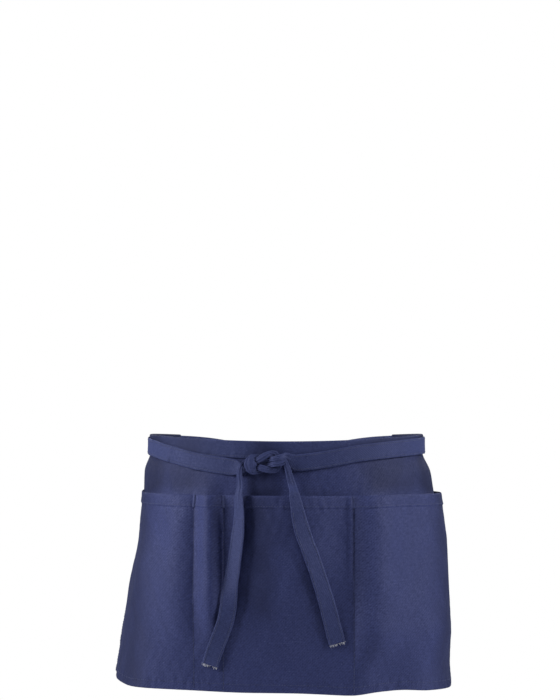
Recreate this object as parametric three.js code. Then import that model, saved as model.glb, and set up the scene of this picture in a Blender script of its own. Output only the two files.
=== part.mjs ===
// A three-pocket waist apron of navy twill, in the form it keeps when it is tied round a waist.
// Millimetres, +Z up, +X to the right of someone who faces the apron, and -Y towards them.
// The origin is the middle of the waist, level with the middle of the waistband at the front.
import * as THREE from "three";

// The flat cloth
const APRON_WIDTH = 572;
const APRON_LENGTH = 292;
const CLOTH = 1.0;
const POCKET_DROP = 63;
const POCKET_HEM = 14;
const HEM_TURN = 12;

// The ties and the waistband, which are the same folded tape, and how far the waistband runs over them
const TIE_WIDTH = 19.5;
const TIE_TUCK = 12;
const BAND_HEIGHT = TIE_WIDTH + CLOTH;

// Clearances between layers that are sewn together, and under a tie that only lies on them
const GAP = 0.3;
const LIE_GAP = 0.9;

// The waist that the apron is tied round
const WAIST_HALF_WIDTH = 159.5;
const WAIST_DEPTH = 117;
const SIDE_RISE = 6;

// How far the deepest fold stands out or in, and how far the fullest pocket stands open
const FOLD_DEPTH = 8;
const POCKET_OPEN = 15;

// The knot: the width of the strand that the gathered tape makes, where it sits, and the free ends
const STRAND = 5.6;
const KNOT_ACROSS = -26;
const KNOT_DOWN = 25.5;
const KNOT_TILT = 9;
const LEFT_TAIL = 236;
const RIGHT_TAIL = 212;

// How far the ties part where they cross behind the wearer, and how far they hang there
const CROSS_SWING = 10.8;
const BACK_SAG = 15;

// The worn form at each level. down is a share of the length; left, right and front are the half widths
// and the depth as shares of the waist's own; square is 2 for an ellipse, more for a boxier round.
const LEVELS = [
  { down: 0.0, left: 1.0, right: 1.0, front: 1.0, square: 2.0 },
  { down: 0.07, left: 1.0, right: 1.0, front: 1.0, square: 2.0 },
  { down: 0.145, left: 1.045, right: 1.062, front: 1.02, square: 2.02 },
  { down: 0.215, left: 1.05, right: 1.085, front: 1.038, square: 2.06 },
  { down: 0.31, left: 1.062, right: 1.115, front: 1.06, square: 2.12 },
  { down: 0.43, left: 1.085, right: 1.14, front: 1.08, square: 2.2 },
  { down: 0.6, left: 1.15, right: 1.16, front: 1.1, square: 2.4 },
  { down: 0.8, left: 1.206, right: 1.178, front: 1.115, square: 2.7 },
  { down: 1.0, left: 1.258, right: 1.207, front: 1.125, square: 2.95 },
];

// How long the cloth hangs across its width. across is a share of the width, long of the length.
const HANG = [
  { across: -0.5, long: 0.94 },
  { across: -0.4, long: 0.958 },
  { across: -0.33, long: 0.975 },
  { across: -0.2, long: 0.981 },
  { across: -0.09, long: 0.989 },
  { across: 0.02, long: 0.992 },
  { across: 0.128, long: 1.0 },
  { across: 0.19, long: 0.988 },
  { across: 0.24, long: 0.984 },
  { across: 0.3, long: 0.99 },
  { across: 0.43, long: 0.992 },
  { across: 0.5, long: 0.988 },
];

// Soft folds in the whole hanging cloth. across, lean and wide are shares of the width, lean being the
// drift by the hem; deep is a share of the fold depth; start, full, fade and end are shares of the length.
const FOLDS = [
  { across: -0.33, lean: 0.03, wide: 0.05, deep: 0.5, start: 0.3, full: 0.6, fade: 0.95, end: 1.2 },
  { across: -0.205, lean: -0.01, wide: 0.045, deep: 0.7, start: 0.12, full: 0.32, fade: 0.6, end: 1.0 },
  { across: 0.17, lean: 0.0, wide: 0.045, deep: 1.0, start: 0.12, full: 0.3, fade: 0.75, end: 1.05 },
  { across: 0.27, lean: 0.0, wide: 0.06, deep: -0.45, start: 0.12, full: 0.3, fade: 0.7, end: 0.95 },
  { across: -0.155, lean: -0.01, wide: 0.028, deep: 0.45, start: 0.1, full: 0.28, fade: 0.5, end: 0.85 },
  { across: 0.035, lean: -0.01, wide: 0.045, deep: 0.35, start: 0.12, full: 0.3, fade: 0.55, end: 0.9 },
  { across: 0.13, lean: 0.008, wide: 0.035, deep: 0.5, start: 0.7, full: 0.95, fade: 1.2, end: 1.5 },
  { across: 0.22, lean: 0.0, wide: 0.04, deep: -0.45, start: 0.78, full: 1.0, fade: 1.2, end: 1.5 },
  { across: -0.455, lean: 0.0, wide: 0.03, deep: -0.4, start: 0.3, full: 0.7, fade: 1.2, end: 1.5 },
];

// The pockets, from left to right. from and to are the seams as shares of the width; slackFrom and slackTo
// bound the cloth that stands off; open is a share of the widest opening; flat flattens the bulge, and dip
// lets its middle fall back; the pocket stays open down to the share full of its depth and is closed at the
// share shut. pleats is its modelled steps.
const POCKETS = [
  {
    from: -0.5, to: -0.187, slackFrom: -0.38, slackTo: -0.187, open: 0.75, flat: 0.4,
    dip: 0.5, full: 0.3, shut: 0.9, pleats: 14,
  },
  {
    from: -0.187, to: -0.127, slackFrom: -0.187, slackTo: -0.127, open: 0.78, flat: 0.7,
    dip: 0.0, full: 0.5, shut: 0.9, pleats: 8,
  },
  {
    from: -0.127, to: 0.134, slackFrom: -0.127, slackTo: 0.134, open: 0.62, flat: 0.7,
    dip: 0.0, full: 0.25, shut: 0.9, pleats: 15,
  },
  {
    from: 0.134, to: 0.5, slackFrom: 0.14, slackTo: 0.43, open: 0.95, flat: 0.3,
    dip: 0.55, full: 0.66, shut: 0.94, pleats: 18,
  },
];

// Levels at which the body panel is modelled above the pockets, as shares of the way from the waistband to
// them, and levels of both panels between the pocket's hem and the turned-up foot
const UPPER_LEVELS = [0.35, 0.7];
const POCKET_LEVELS = [0.15, 0.32, 0.49, 0.64, 0.76, 0.88];

// The tie from where it passes over the far end of the waistband to the knot. along is a share of that run,
// and down is the middle of the tie below the waistline as a share of the length.
const TIE_FROM_LEFT = [
  { along: 0.0, down: 0.036 },
  { along: 0.25, down: 0.045 },
  { along: 0.5, down: 0.046 },
  { along: 0.72, down: 0.053 },
  { along: 0.88, down: 0.074 },
  { along: 1.0, down: 0.088 },
];
const TIE_FROM_RIGHT = [
  { along: 0.0, down: 0.036 },
  { along: 0.2, down: 0.044 },
  { along: 0.45, down: 0.052 },
  { along: 0.65, down: 0.071 },
  { along: 0.82, down: 0.092 },
  { along: 1.0, down: 0.107 },
];

// Half of one strand in the knot, inside the other strand's loop and round its own, in strand widths: along
// away from its own side, side off the knot's middle line, and out of its face. wide and thick are the
// gathered tape's own section there. The other half is the same with side turned over.
const KNOT_HALF = [
  { along: -3.6, side: 0.6, out: -0.42, wide: 1.1, thick: 0.58 },
  { along: -2.3, side: 0.55, out: -0.4, wide: 1.0, thick: 0.58 },
  { along: -1.6, side: 0.57, out: 0.0, wide: 0.98, thick: 0.55 },
  { along: -0.8, side: 0.8, out: 0.31, wide: 1.3, thick: 0.5 },
  { along: 0.0, side: 1.15, out: 0.33, wide: 1.5, thick: 0.48 },
  { along: 0.8, side: 1.55, out: 0.31, wide: 1.3, thick: 0.5 },
  { along: 1.6, side: 1.82, out: 0.0, wide: 1.04, thick: 0.53 },
  { along: 2.4, side: 1.65, out: -0.33, wide: 1.4, thick: 0.5 },
  { along: 2.85, side: 1.0, out: -0.42, wide: 1.75, thick: 0.45 },
];
const KNOT_APEX = { along: 3.0, side: 0.0, out: -0.44, wide: 1.8, thick: 0.45 };

// The same strand just outside the knot, where the tie comes in behind and the free end leaves in front
const KNOT_COMES = { along: -4.8, side: 0.5, out: -0.55, wide: 2.3, thick: 0.34 };
const KNOT_LEAVES = { along: -4.6, side: 0.2, out: 0.3, wide: 1.0, thick: 0.5 };

// The free ends below the knot. down is a share of the tail's length; across is how far the middle has
// drifted from the knot as a share of the apron's width; wide is a share of the tape's width, thick is in
// cloth thicknesses, lift is how far it stands off the cloth in strand thicknesses.
const LEFT_TAIL_ROWS = [
  { down: 0.0, across: -0.046, wide: 0.33, thick: 3.4, lift: 1.5 },
  { down: 0.05, across: -0.047, wide: 0.36, thick: 3.0, lift: 1.2 },
  { down: 0.14, across: -0.043, wide: 0.48, thick: 2.2, lift: 0.95 },
  { down: 0.24, across: -0.043, wide: 0.74, thick: 1.5, lift: 0.85 },
  { down: 0.36, across: -0.047, wide: 0.95, thick: 1.1, lift: 0.8 },
  { down: 0.55, across: -0.06, wide: 1.0, thick: 1.0, lift: 0.7 },
  { down: 0.75, across: -0.08, wide: 1.0, thick: 1.0, lift: 0.5 },
  { down: 1.0, across: -0.105, wide: 1.0, thick: 1.0, lift: 0.2 },
];
const RIGHT_TAIL_ROWS = [
  { down: 0.0, across: 0.045, wide: 0.33, thick: 3.4, lift: 1.0 },
  { down: 0.05, across: 0.049, wide: 0.38, thick: 3.0, lift: 0.95 },
  { down: 0.14, across: 0.056, wide: 0.52, thick: 2.2, lift: 0.9 },
  { down: 0.24, across: 0.064, wide: 0.75, thick: 1.5, lift: 0.85 },
  { down: 0.38, across: 0.08, wide: 0.98, thick: 1.1, lift: 0.8 },
  { down: 0.55, across: 0.103, wide: 1.0, thick: 1.0, lift: 0.65 },
  { down: 0.78, across: 0.13, wide: 1.0, thick: 1.0, lift: 0.4 },
  { down: 1.0, across: 0.151, wide: 1.0, thick: 1.0, lift: 0.15 },
];

// Modelled steps along the plain stretches of a tie
const BACK_STEPS = 26;
const FRONT_STEPS = 18;
const KNOT_STEPS = 2;
const TAIL_STEPS = 16;

// Where the tape starts to gather, in strand widths from the knot's middle, and where a tail first lies on
// the apron as a share of its length
const KNOT_REACH = 6.3;
const TAIL_START = 0.05;

// Offsets of the layers from the wearer's side of the body panel
const BAND_BACK = -(GAP + CLOTH);
const BAND_FRONT = 2 * CLOTH + GAP;
const POCKET_SEAT = CLOTH + GAP;
const UNDER_TIE = CLOTH / 2;
const OVER_TIE = BAND_FRONT + LIE_GAP + CLOTH / 2;
const FRONT_TOP = BAND_HEIGHT / 2;
const POCKET_TOP = POCKET_DROP / APRON_LENGTH;

// Levels that both panels share, so that the walls stay parallel between them
const BAND_FOOT = BAND_HEIGHT / APRON_LENGTH;
const POCKET_THIN = (POCKET_DROP + POCKET_HEM) / APRON_LENGTH;
const TURNED_UP = 1 - HEM_TURN / APRON_LENGTH;
const SHARED_LEVELS = [
  POCKET_TOP,
  POCKET_THIN,
  ...POCKET_LEVELS.map((share) => POCKET_THIN + (TURNED_UP - POCKET_THIN) * share),
  TURNED_UP,
];

// A value between the rows of a table, on one smooth curve through them
function read(rows, key, name, at) {
  const last = rows.length - 1;
  if (at <= rows[0][key]) return rows[0][name];
  if (at >= rows[last][key]) return rows[last][name];
  let i = 0;
  while (rows[i + 1][key] < at) i++;
  const slope = (a, b) => (rows[b][name] - rows[a][name]) / (rows[b][key] - rows[a][key]);
  const between = (a, b) => (a * b > 0 ? (2 * a * b) / (a + b) : 0);
  const here = slope(i, i + 1);
  const before = i > 0 ? between(slope(i - 1, i), here) : here;
  const after = i + 1 < last ? between(slope(i + 1, i + 2), here) : here;
  const span = rows[i + 1][key] - rows[i][key];
  const t = (at - rows[i][key]) / span;
  const ease = t * t * (3 - 2 * t);
  return (
    rows[i][name] * (1 - ease) +
    rows[i + 1][name] * ease +
    span * (before * t * (1 - t) * (1 - t) - after * t * t * (1 - t))
  );
}

function smooth(from, to, at) {
  const t = Math.min(1, Math.max(0, (at - from) / (to - from)));
  return t * t * (3 - 2 * t);
}

// One horizontal section of the worn form, measured along its own length from the front middle
const SECTION_STEPS = 360;
const sections = new Map();

function section(down) {
  const key = down.toFixed(5);
  if (sections.has(key)) return sections.get(key);
  const level = Object.fromEntries(
    ["left", "right", "front", "square"].map((name) => [name, read(LEVELS, "down", name, down)]),
  );
  const halves = [-1, 1].map((side) => {
    const halfWidth = WAIST_HALF_WIDTH * (side < 0 ? level.left : level.right);
    const points = [];
    for (let i = 0; i <= SECTION_STEPS; i++) {
      const angle = (Math.PI * i) / SECTION_STEPS;
      const power = 2 / level.square;
      const x = side * halfWidth * Math.abs(Math.sin(angle)) ** power;
      const y = -WAIST_DEPTH * level.front * Math.sign(Math.cos(angle)) * Math.abs(Math.cos(angle)) ** power;
      const before = points[i - 1];
      const run = before ? before.run + Math.hypot(x - before.x, y - before.y) : 0;
      points.push({ x, y, angle, run });
    }
    return points;
  });
  const round = halves[0][SECTION_STEPS].run + halves[1][SECTION_STEPS].run;
  const made = { left: halves[0], right: halves[1], round };
  sections.set(key, made);
  return made;
}

// The point of a section at a distance along it, negative to the left, and its angle from the front
function along(made, distance) {
  const leftHalf = made.left[SECTION_STEPS].run;
  const rightHalf = made.right[SECTION_STEPS].run;
  let s = distance;
  if (s < -leftHalf) s += made.round;
  if (s > rightHalf) s -= made.round;
  const points = s < 0 ? made.left : made.right;
  const target = Math.abs(s);
  let low = 0;
  let high = SECTION_STEPS;
  while (high - low > 1) {
    const middle = (low + high) >> 1;
    if (points[middle].run <= target) low = middle;
    else high = middle;
  }
  const a = points[low];
  const b = points[high];
  const t = (target - a.run) / (b.run - a.run);
  return { x: a.x + (b.x - a.x) * t, y: a.y + (b.y - a.y) * t, angle: a.angle + (b.angle - a.angle) * t };
}

// How far the soft folds move the hanging cloth outwards
function foldAt(distance, down) {
  return FOLDS.reduce((sum, fold) => {
    const middle = (fold.across + fold.lean * down) * APRON_WIDTH;
    const reach = (distance - middle) / (fold.wide * APRON_WIDTH);
    const share = smooth(fold.start, fold.full, down) * (1 - smooth(fold.fade, fold.end, down));
    return sum + fold.deep * FOLD_DEPTH * share * Math.exp(-reach * reach);
  }, 0);
}

// How far the pocket panel stands off the body panel, beyond the layers that are sewn
function pocketOpening(distance, down) {
  const across = distance / APRON_WIDTH;
  const deep = Math.max(0, (down - POCKET_TOP) / (1 - POCKET_TOP));
  const pocket = POCKETS.find((one) => across > one.slackFrom && across < one.slackTo);
  if (!pocket) return 0;
  const share = (across - pocket.slackFrom) / (pocket.slackTo - pocket.slackFrom);
  const wave = Math.sin(Math.PI * share);
  const bulge = wave ** (2 * pocket.flat) - pocket.dip * wave ** 6;
  return POCKET_OPEN * pocket.open * bulge * (1 - smooth(pocket.full, pocket.shut, deep));
}

// A point of the worn apron: a distance along the cloth from its middle, a depth below the waistline as a
// share of the length, and an offset outwards. drop moves it straight down by a length.
function place(cloth, down, offset, drop = 0) {
  const level = Math.max(0, down);
  const made = section(level);
  const step = 0.5;
  const round = section(0).round;
  const distance = cloth - round * Math.round(cloth / round);
  const at = along(made, distance);
  const before = along(made, distance - step);
  const after = along(made, distance + step);
  const tangent = new THREE.Vector2(after.x - before.x, after.y - before.y).normalize();
  const outward = new THREE.Vector2(tangent.y, -tangent.x);
  const waist = along(section(0), distance);
  const rise = SIDE_RISE * Math.sin(waist.angle) ** 2 * (1 - smooth(BAND_FOOT, POCKET_TOP, level));
  const top = FRONT_TOP + rise;
  const hang = APRON_LENGTH * read(HANG, "across", "long", distance / APRON_WIDTH);
  const out = offset + foldAt(distance, level);
  return new THREE.Vector3(at.x + outward.x * out, at.y + outward.y * out, top - down * hang - drop);
}

// The frame on the worn surface: the point, the way along the cloth, the way up it, and the way out
function frameAt(distance, down, offset, drop = 0) {
  const step = 1;
  const point = place(distance, down, offset, drop);
  const after = place(distance + step, down, offset);
  const across = after.sub(place(distance - step, down, offset)).normalize();
  const rise = step / APRON_LENGTH;
  const upper = place(distance, down - rise, offset);
  const lower = place(distance, down + rise, offset);
  const up = upper.sub(lower).normalize();
  const out = new THREE.Vector3().crossVectors(across, up).normalize();
  up.crossVectors(out, across).normalize();
  return { point, across, up, out };
}

// Turns a grid of faces into one closed geometry
function closed(points, faces) {
  const flat = faces.flatMap((face) => face.flatMap((i) => points[i].toArray()));
  const geometry = new THREE.BufferGeometry();
  geometry.setAttribute("position", new THREE.Float32BufferAttribute(flat, 3));
  geometry.computeVertexNormals();
  return geometry;
}

// A cloth wall: rows of paired points, one on its outer face and one on its inner face, from one edge of
// the cloth to the other, with its four edges closed
function sheetOf(rows) {
  const columns = rows[0].length;
  const points = rows.flatMap((row) => row.flatMap((pair) => [pair.outer, pair.inner]));
  const outer = (i, j) => 2 * (i * columns + j);
  const inner = (i, j) => outer(i, j) + 1;
  const faces = [];
  const quad = (a, b, c, d) => faces.push([a, b, c], [a, c, d]);
  const lastRow = rows.length - 1;
  const lastColumn = columns - 1;
  for (let i = 0; i < lastRow; i++) {
    for (let j = 0; j < lastColumn; j++) {
      quad(outer(i, j), outer(i, j + 1), outer(i + 1, j + 1), outer(i + 1, j));
      quad(inner(i, j), inner(i + 1, j), inner(i + 1, j + 1), inner(i, j + 1));
    }
    quad(outer(i, 0), outer(i + 1, 0), inner(i + 1, 0), inner(i, 0));
    quad(outer(i, lastColumn), inner(i, lastColumn), inner(i + 1, lastColumn), outer(i + 1, lastColumn));
  }
  for (let j = 0; j < lastColumn; j++) {
    quad(outer(0, j), inner(0, j), inner(0, j + 1), outer(0, j + 1));
    quad(outer(lastRow, j), outer(lastRow, j + 1), inner(lastRow, j + 1), inner(lastRow, j));
  }
  return closed(points, faces);
}

// A tape swept through stations, each with its middle, its way along, the way out of its face, and the
// width and thickness of its rounded section
const TAPE_CORNERS = [
  [-1, -0.5],
  [-0.6, -1],
  [0.6, -1],
  [1, -0.5],
  [1, 0.5],
  [0.6, 1],
  [-0.6, 1],
  [-1, 0.5],
];

function tapeOf(stations) {
  const sides = TAPE_CORNERS.length;
  const points = [];
  stations.forEach((station, i) => {
    const before = stations[Math.max(0, i - 1)].point;
    const after = stations[Math.min(stations.length - 1, i + 1)].point;
    const ahead = after.clone().sub(before).normalize();
    const side = new THREE.Vector3().crossVectors(station.out, ahead).normalize();
    const face = new THREE.Vector3().crossVectors(ahead, side);
    for (const [x, y] of TAPE_CORNERS) {
      points.push(
        station.point
          .clone()
          .addScaledVector(side, (x * station.wide) / 2)
          .addScaledVector(face, (y * station.thick) / 2),
      );
    }
  });
  const faces = [];
  for (let i = 0; i < stations.length - 1; i++) {
    for (let k = 0; k < sides; k++) {
      const next = (k + 1) % sides;
      const a = i * sides + k;
      const b = i * sides + next;
      faces.push([a, b, b + sides], [a, b + sides, a + sides]);
    }
  }
  const end = (stations.length - 1) * sides;
  for (let k = 1; k < sides - 1; k++) {
    faces.push([0, k + 1, k], [end, end + k, end + k + 1]);
  }
  return closed(points, faces);
}

// Distances along the cloth at which the panels are modelled: every seam, and even steps between
function panelStations() {
  const found = [];
  for (const pocket of POCKETS) {
    for (let i = 0; i < pocket.pleats; i++) {
      found.push((pocket.from + ((pocket.to - pocket.from) * i) / pocket.pleats) * APRON_WIDTH);
    }
  }
  found.push(POCKETS[POCKETS.length - 1].to * APRON_WIDTH);
  return found;
}

function bodyPanel() {
  const top = (CLOTH + GAP) / APRON_LENGTH;
  const upper = UPPER_LEVELS.map((share) => BAND_FOOT + (POCKET_TOP - BAND_FOOT) * share);
  const levels = [top, BAND_FOOT, ...upper, ...SHARED_LEVELS, 1 - top];
  const rows = panelStations().map((s) =>
    levels.map((down) => ({ outer: place(s, down, CLOTH), inner: place(s, down, 0) })),
  );
  return sheetOf(rows);
}

// The pocket panel hangs from a doubled top hem to the apron's lower edge, and is turned up behind the body
function pocketPanel() {
  const wall = CLOTH / APRON_LENGTH;
  const rows = panelStations().map((s) => {
    const front = (down, layers) => {
      const seat = POCKET_SEAT + pocketOpening(s, down);
      return { outer: place(s, down, seat + layers * CLOTH), inner: place(s, down, seat) };
    };
    return [
      front(POCKET_TOP, 2),
      front(POCKET_THIN, 2),
      front(POCKET_THIN + wall, 1),
      ...SHARED_LEVELS.slice(2).map((down) => front(down, 1)),
      { outer: place(s, 1, POCKET_SEAT + CLOTH), inner: place(s, 1 - wall, POCKET_SEAT) },
      { outer: place(s, 1, BAND_BACK), inner: place(s, 1 - wall, -GAP) },
      { outer: place(s, TURNED_UP, BAND_BACK), inner: place(s, TURNED_UP, -GAP) },
    ];
  });
  return sheetOf(rows);
}

// The waistband is folded over the body's top edge, and runs past it over the sewn ends of the ties
function waistband() {
  const foot = BAND_FOOT;
  const roof = CLOTH / APRON_LENGTH;
  const half = APRON_WIDTH / 2 + TIE_TUCK;
  const stations = [-half, ...panelStations(), half];
  const rows = stations.map((s) => [
    { outer: place(s, foot, BAND_BACK), inner: place(s, foot, -GAP) },
    { outer: place(s, 0, BAND_BACK), inner: place(s, roof, -GAP) },
    { outer: place(s, 0, BAND_FRONT), inner: place(s, roof, POCKET_SEAT) },
    { outer: place(s, foot, BAND_FRONT), inner: place(s, foot, POCKET_SEAT) },
  ]);
  return sheetOf(rows);
}

// The outermost layer of the worn apron at a place, as an offset like those of the panels
function outermost(distance, down) {
  if (down < BAND_FOOT) return BAND_FRONT;
  if (down < POCKET_TOP) return CLOTH;
  const layers = down < POCKET_THIN ? 2 : 1;
  return POCKET_SEAT + layers * CLOTH + pocketOpening(distance, down);
}

// A tape that lies on places of the apron, given from one edge of the tape to the other: the middle of the
// tape and the way out of its face
function rest(places, ahead, thick) {
  const points = places.map(({ distance, down }) => {
    const reach = TIE_WIDTH / 2 / APRON_LENGTH;
    const offset = Math.max(...[-reach, 0, reach].map((more) => outermost(distance, down + more)));
    return place(distance, down, offset);
  });
  const side = points[points.length - 1].clone().sub(points[0]).normalize();
  const out = new THREE.Vector3().crossVectors(side, ahead).normalize();
  const centre = points[0].clone().add(points[points.length - 1]).multiplyScalar(0.5);
  if (out.x * centre.x + out.y * centre.y < 0) out.negate();
  const height = Math.max(...points.map((point) => point.clone().sub(centre).dot(out)));
  return { point: centre.addScaledVector(out, height + LIE_GAP + thick / 2), out };
}

// Where the knot sits, and its own axes: along the waist, up and out of the apron
function knotFrame() {
  const deepest = STRAND * 0.8;
  const frame = frameAt(KNOT_ACROSS, KNOT_DOWN / APRON_LENGTH, BAND_FRONT + LIE_GAP + deepest);
  const tilt = (KNOT_TILT * Math.PI) / 180;
  frame.across.applyAxisAngle(frame.out, tilt);
  frame.up.applyAxisAngle(frame.out, tilt);
  return frame;
}

// The stations of one strand through the knot. side is -1 for the strand that comes from the left, whose
// free end leaves above it; the strand from the right leaves below.
function knotStrand(side) {
  const knot = knotFrame();
  const woven = [...KNOT_HALF, KNOT_APEX].map((row) => ({ ...row, out: -side * row.out }));
  const back = woven.slice(0, -1).reverse();
  const rows = [KNOT_COMES, ...woven, ...[...back, KNOT_LEAVES].map((row) => ({ ...row, side: -row.side }))];
  const spine = rows.map((row) =>
    knot.point
      .clone()
      .addScaledVector(knot.across, -side * row.along * STRAND)
      .addScaledVector(knot.up, side * row.side * STRAND)
      .addScaledVector(knot.out, row.out * STRAND),
  );
  const curve = new THREE.CatmullRomCurve3(spine, false, "centripetal");
  const found = [];
  const steps = (rows.length - 1) * KNOT_STEPS;
  for (let i = 0; i <= steps; i++) {
    const at = i / KNOT_STEPS;
    const a = rows[Math.floor(at)];
    const b = rows[Math.min(rows.length - 1, Math.floor(at) + 1)];
    const t = at - Math.floor(at);
    found.push({
      point: curve.getPoint(i / steps),
      out: knot.out.clone(),
      wide: STRAND * (a.wide + (b.wide - a.wide) * t),
      thick: STRAND * (a.thick + (b.thick - a.thick) * t),
    });
  }
  return found;
}

// The free end below the knot, lying on the apron
function tail(rows, length) {
  const at = (share) => ({
    distance: KNOT_ACROSS + read(rows, "down", "across", share) * APRON_WIDTH,
    down: (KNOT_DOWN + share * length) / APRON_LENGTH,
  });
  const found = [];
  for (let i = 1; i <= TAIL_STEPS; i++) {
    const share = TAIL_START + (1 - TAIL_START) * (i / TAIL_STEPS) ** 1.15;
    const wide = TIE_WIDTH * read(rows, "down", "wide", share);
    const thick = CLOTH * read(rows, "down", "thick", share);
    const before = at(share - 0.02);
    const after = at(share + 0.02);
    const ahead = place(after.distance, after.down, 0).sub(place(before.distance, before.down, 0)).normalize();
    const lean = (after.distance - before.distance) / ((after.down - before.down) * APRON_LENGTH);
    const { distance, down } = at(share);
    const places = [-1, -0.5, 0, 0.5, 1].map((edge) => ({
      distance: distance + (edge * wide) / 2 / Math.hypot(1, lean),
      down: down + (-edge * lean * wide) / 2 / Math.hypot(1, lean) / APRON_LENGTH,
    }));
    const seat = rest(places, ahead, thick);
    const lift = STRAND * read(rows, "down", "lift", share);
    found.push({ point: seat.point.addScaledVector(seat.out, lift), out: seat.out, wide, thick });
  }
  return found;
}

// A tie: sewn inside its own end of the waistband, round the back and across the other tie, over the
// other end of the waistband, into the knot and down. side is -1 for the tie sewn to the left end.
function tie(side, frontRows, tailRows, tailLength) {
  const round = section(0).round;
  const start = APRON_WIDTH / 2 + CLOTH;
  const crossFrom = APRON_WIDTH / 2 + TIE_TUCK;
  const crossTo = round - crossFrom;
  const stop = round + side * KNOT_ACROSS - STRAND * KNOT_REACH;
  const middle = CLOTH + GAP + TIE_WIDTH / 2;
  const swap = side < 0 ? 0.25 : 0.75;
  const stations = [];
  for (let i = 0; i < BACK_STEPS; i++) {
    const run = start + ((crossTo - start) * i) / BACK_STEPS;
    const share = Math.max(0, (run - crossFrom) / (crossTo - crossFrom));
    const swing = CROSS_SWING * Math.sin(2 * Math.PI * share) + BACK_SAG * Math.sin(Math.PI * share);
    const over = smooth(swap - 0.06, swap + 0.06, share);
    const offset = UNDER_TIE + (OVER_TIE - UNDER_TIE) * over;
    const frame = frameAt(side * run, 0, offset, middle + swing);
    stations.push({ point: frame.point, out: frame.out, wide: TIE_WIDTH, thick: CLOTH });
  }
  for (let i = 0; i <= FRONT_STEPS; i++) {
    const share = i / FRONT_STEPS;
    const run = crossTo + (stop - crossTo) * share;
    const down = read(frontRows, "along", "down", share);
    const ahead = place(side * (run + 1), down, 0).sub(place(side * (run - 1), down, 0)).normalize();
    const half = TIE_WIDTH / 2 / APRON_LENGTH;
    const places = [-1, -0.5, 0, 0.5, 1].map((edge) => ({ distance: side * run, down: down + edge * half }));
    stations.push({ ...rest(places, ahead, CLOTH), wide: TIE_WIDTH, thick: CLOTH });
  }
  const knot = knotStrand(-side);
  const last = stations[stations.length - 1];
  for (const share of [0.4, 0.75]) {
    stations.push({
      point: last.point.clone().lerp(knot[0].point, share),
      out: last.out.clone().lerp(knot[0].out, share).normalize(),
      wide: TIE_WIDTH + (knot[0].wide - TIE_WIDTH) * smooth(0, 1, share),
      thick: CLOTH + (knot[0].thick - CLOTH) * smooth(0, 1, share),
    });
  }
  stations.push(...knot);
  stations.push(...tail(tailRows, tailLength));
  return tapeOf(stations);
}

const twill = () => new THREE.MeshStandardMaterial({ color: 0x2f3557, roughness: 0.9, metalness: 0 });
const tape = () => new THREE.MeshStandardMaterial({ color: 0x383e60, roughness: 0.88, metalness: 0 });

function piece(name, geometry, material) {
  const mesh = new THREE.Mesh(geometry, material);
  mesh.name = name;
  return mesh;
}

const apron = new THREE.Group();
apron.add(piece("body_panel", bodyPanel(), twill()));
apron.add(piece("pocket_panel", pocketPanel(), twill()));
apron.add(piece("waistband", waistband(), tape()));
apron.add(piece("tie_from_left", tie(-1, TIE_FROM_LEFT, RIGHT_TAIL_ROWS, RIGHT_TAIL), tape()));
apron.add(piece("tie_from_right", tie(1, TIE_FROM_RIGHT, LEFT_TAIL_ROWS, LEFT_TAIL), tape()));

export default apron;
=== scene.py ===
"""A navy twill waist apron, worn and tied in front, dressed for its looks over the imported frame."""
import logging
import math
from collections.abc import Sequence
from dataclasses import dataclass, field
from enum import Enum

import bpy
import numpy as np
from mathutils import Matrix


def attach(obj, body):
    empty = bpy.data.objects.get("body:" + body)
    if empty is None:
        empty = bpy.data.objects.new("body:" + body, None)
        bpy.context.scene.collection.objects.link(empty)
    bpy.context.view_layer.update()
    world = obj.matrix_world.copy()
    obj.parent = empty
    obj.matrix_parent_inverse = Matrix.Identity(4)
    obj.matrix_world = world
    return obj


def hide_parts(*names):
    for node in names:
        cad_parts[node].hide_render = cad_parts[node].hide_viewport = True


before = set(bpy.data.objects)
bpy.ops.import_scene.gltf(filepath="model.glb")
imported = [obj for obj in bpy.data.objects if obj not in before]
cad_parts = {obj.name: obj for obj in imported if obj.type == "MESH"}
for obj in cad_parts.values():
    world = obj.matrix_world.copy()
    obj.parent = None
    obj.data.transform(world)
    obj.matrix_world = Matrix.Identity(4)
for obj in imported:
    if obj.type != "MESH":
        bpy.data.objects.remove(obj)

Array = np.ndarray
MM = 0.001
# Spacing of the wave texture's diagonal bands where its scale is 1
BAND_SPACING = 0.444
log = logging.getLogger("apron")


# Small helpers


def linear(code: str) -> tuple[float, float, float, float]:
    """Turns an sRGB hex colour to the linear one that a shader takes.

    Args:
        code: The colour, as "#rrggbb".

    Returns:
        Red, green, blue and an alpha of 1.
    """
    parts = [int(code[i : i + 2], 16) / 255 for i in (1, 3, 5)]
    red, green, blue = [c / 12.92 if c <= 0.04045 else ((c + 0.055) / 1.055) ** 2.4 for c in parts]
    return red, green, blue, 1.0


def smooth(start: float, stop: float, at: Array | float) -> Array:
    """Eases from 0 at start to 1 at stop."""
    share = np.clip((np.asarray(at, float) - start) / (stop - start), 0.0, 1.0)
    return share * share * (3 - 2 * share)


def bell(at: Array, middle: Array | float, reach: float) -> Array:
    """A soft bump of height 1 around a middle."""
    return np.exp(-(((at - middle) / reach) ** 2))


def unit(vectors: Array) -> Array:
    """Scales vectors, kept in the last axis, to a length of 1."""
    size = np.linalg.norm(vectors, axis=-1, keepdims=True)
    return vectors / np.where(size > 0, size, 1)


def run_along(points: Array) -> Array:
    """How far along their path each of the points is."""
    return np.concatenate([[0.0], np.cumsum(np.linalg.norm(np.diff(points, axis=0), axis=1))])


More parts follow.
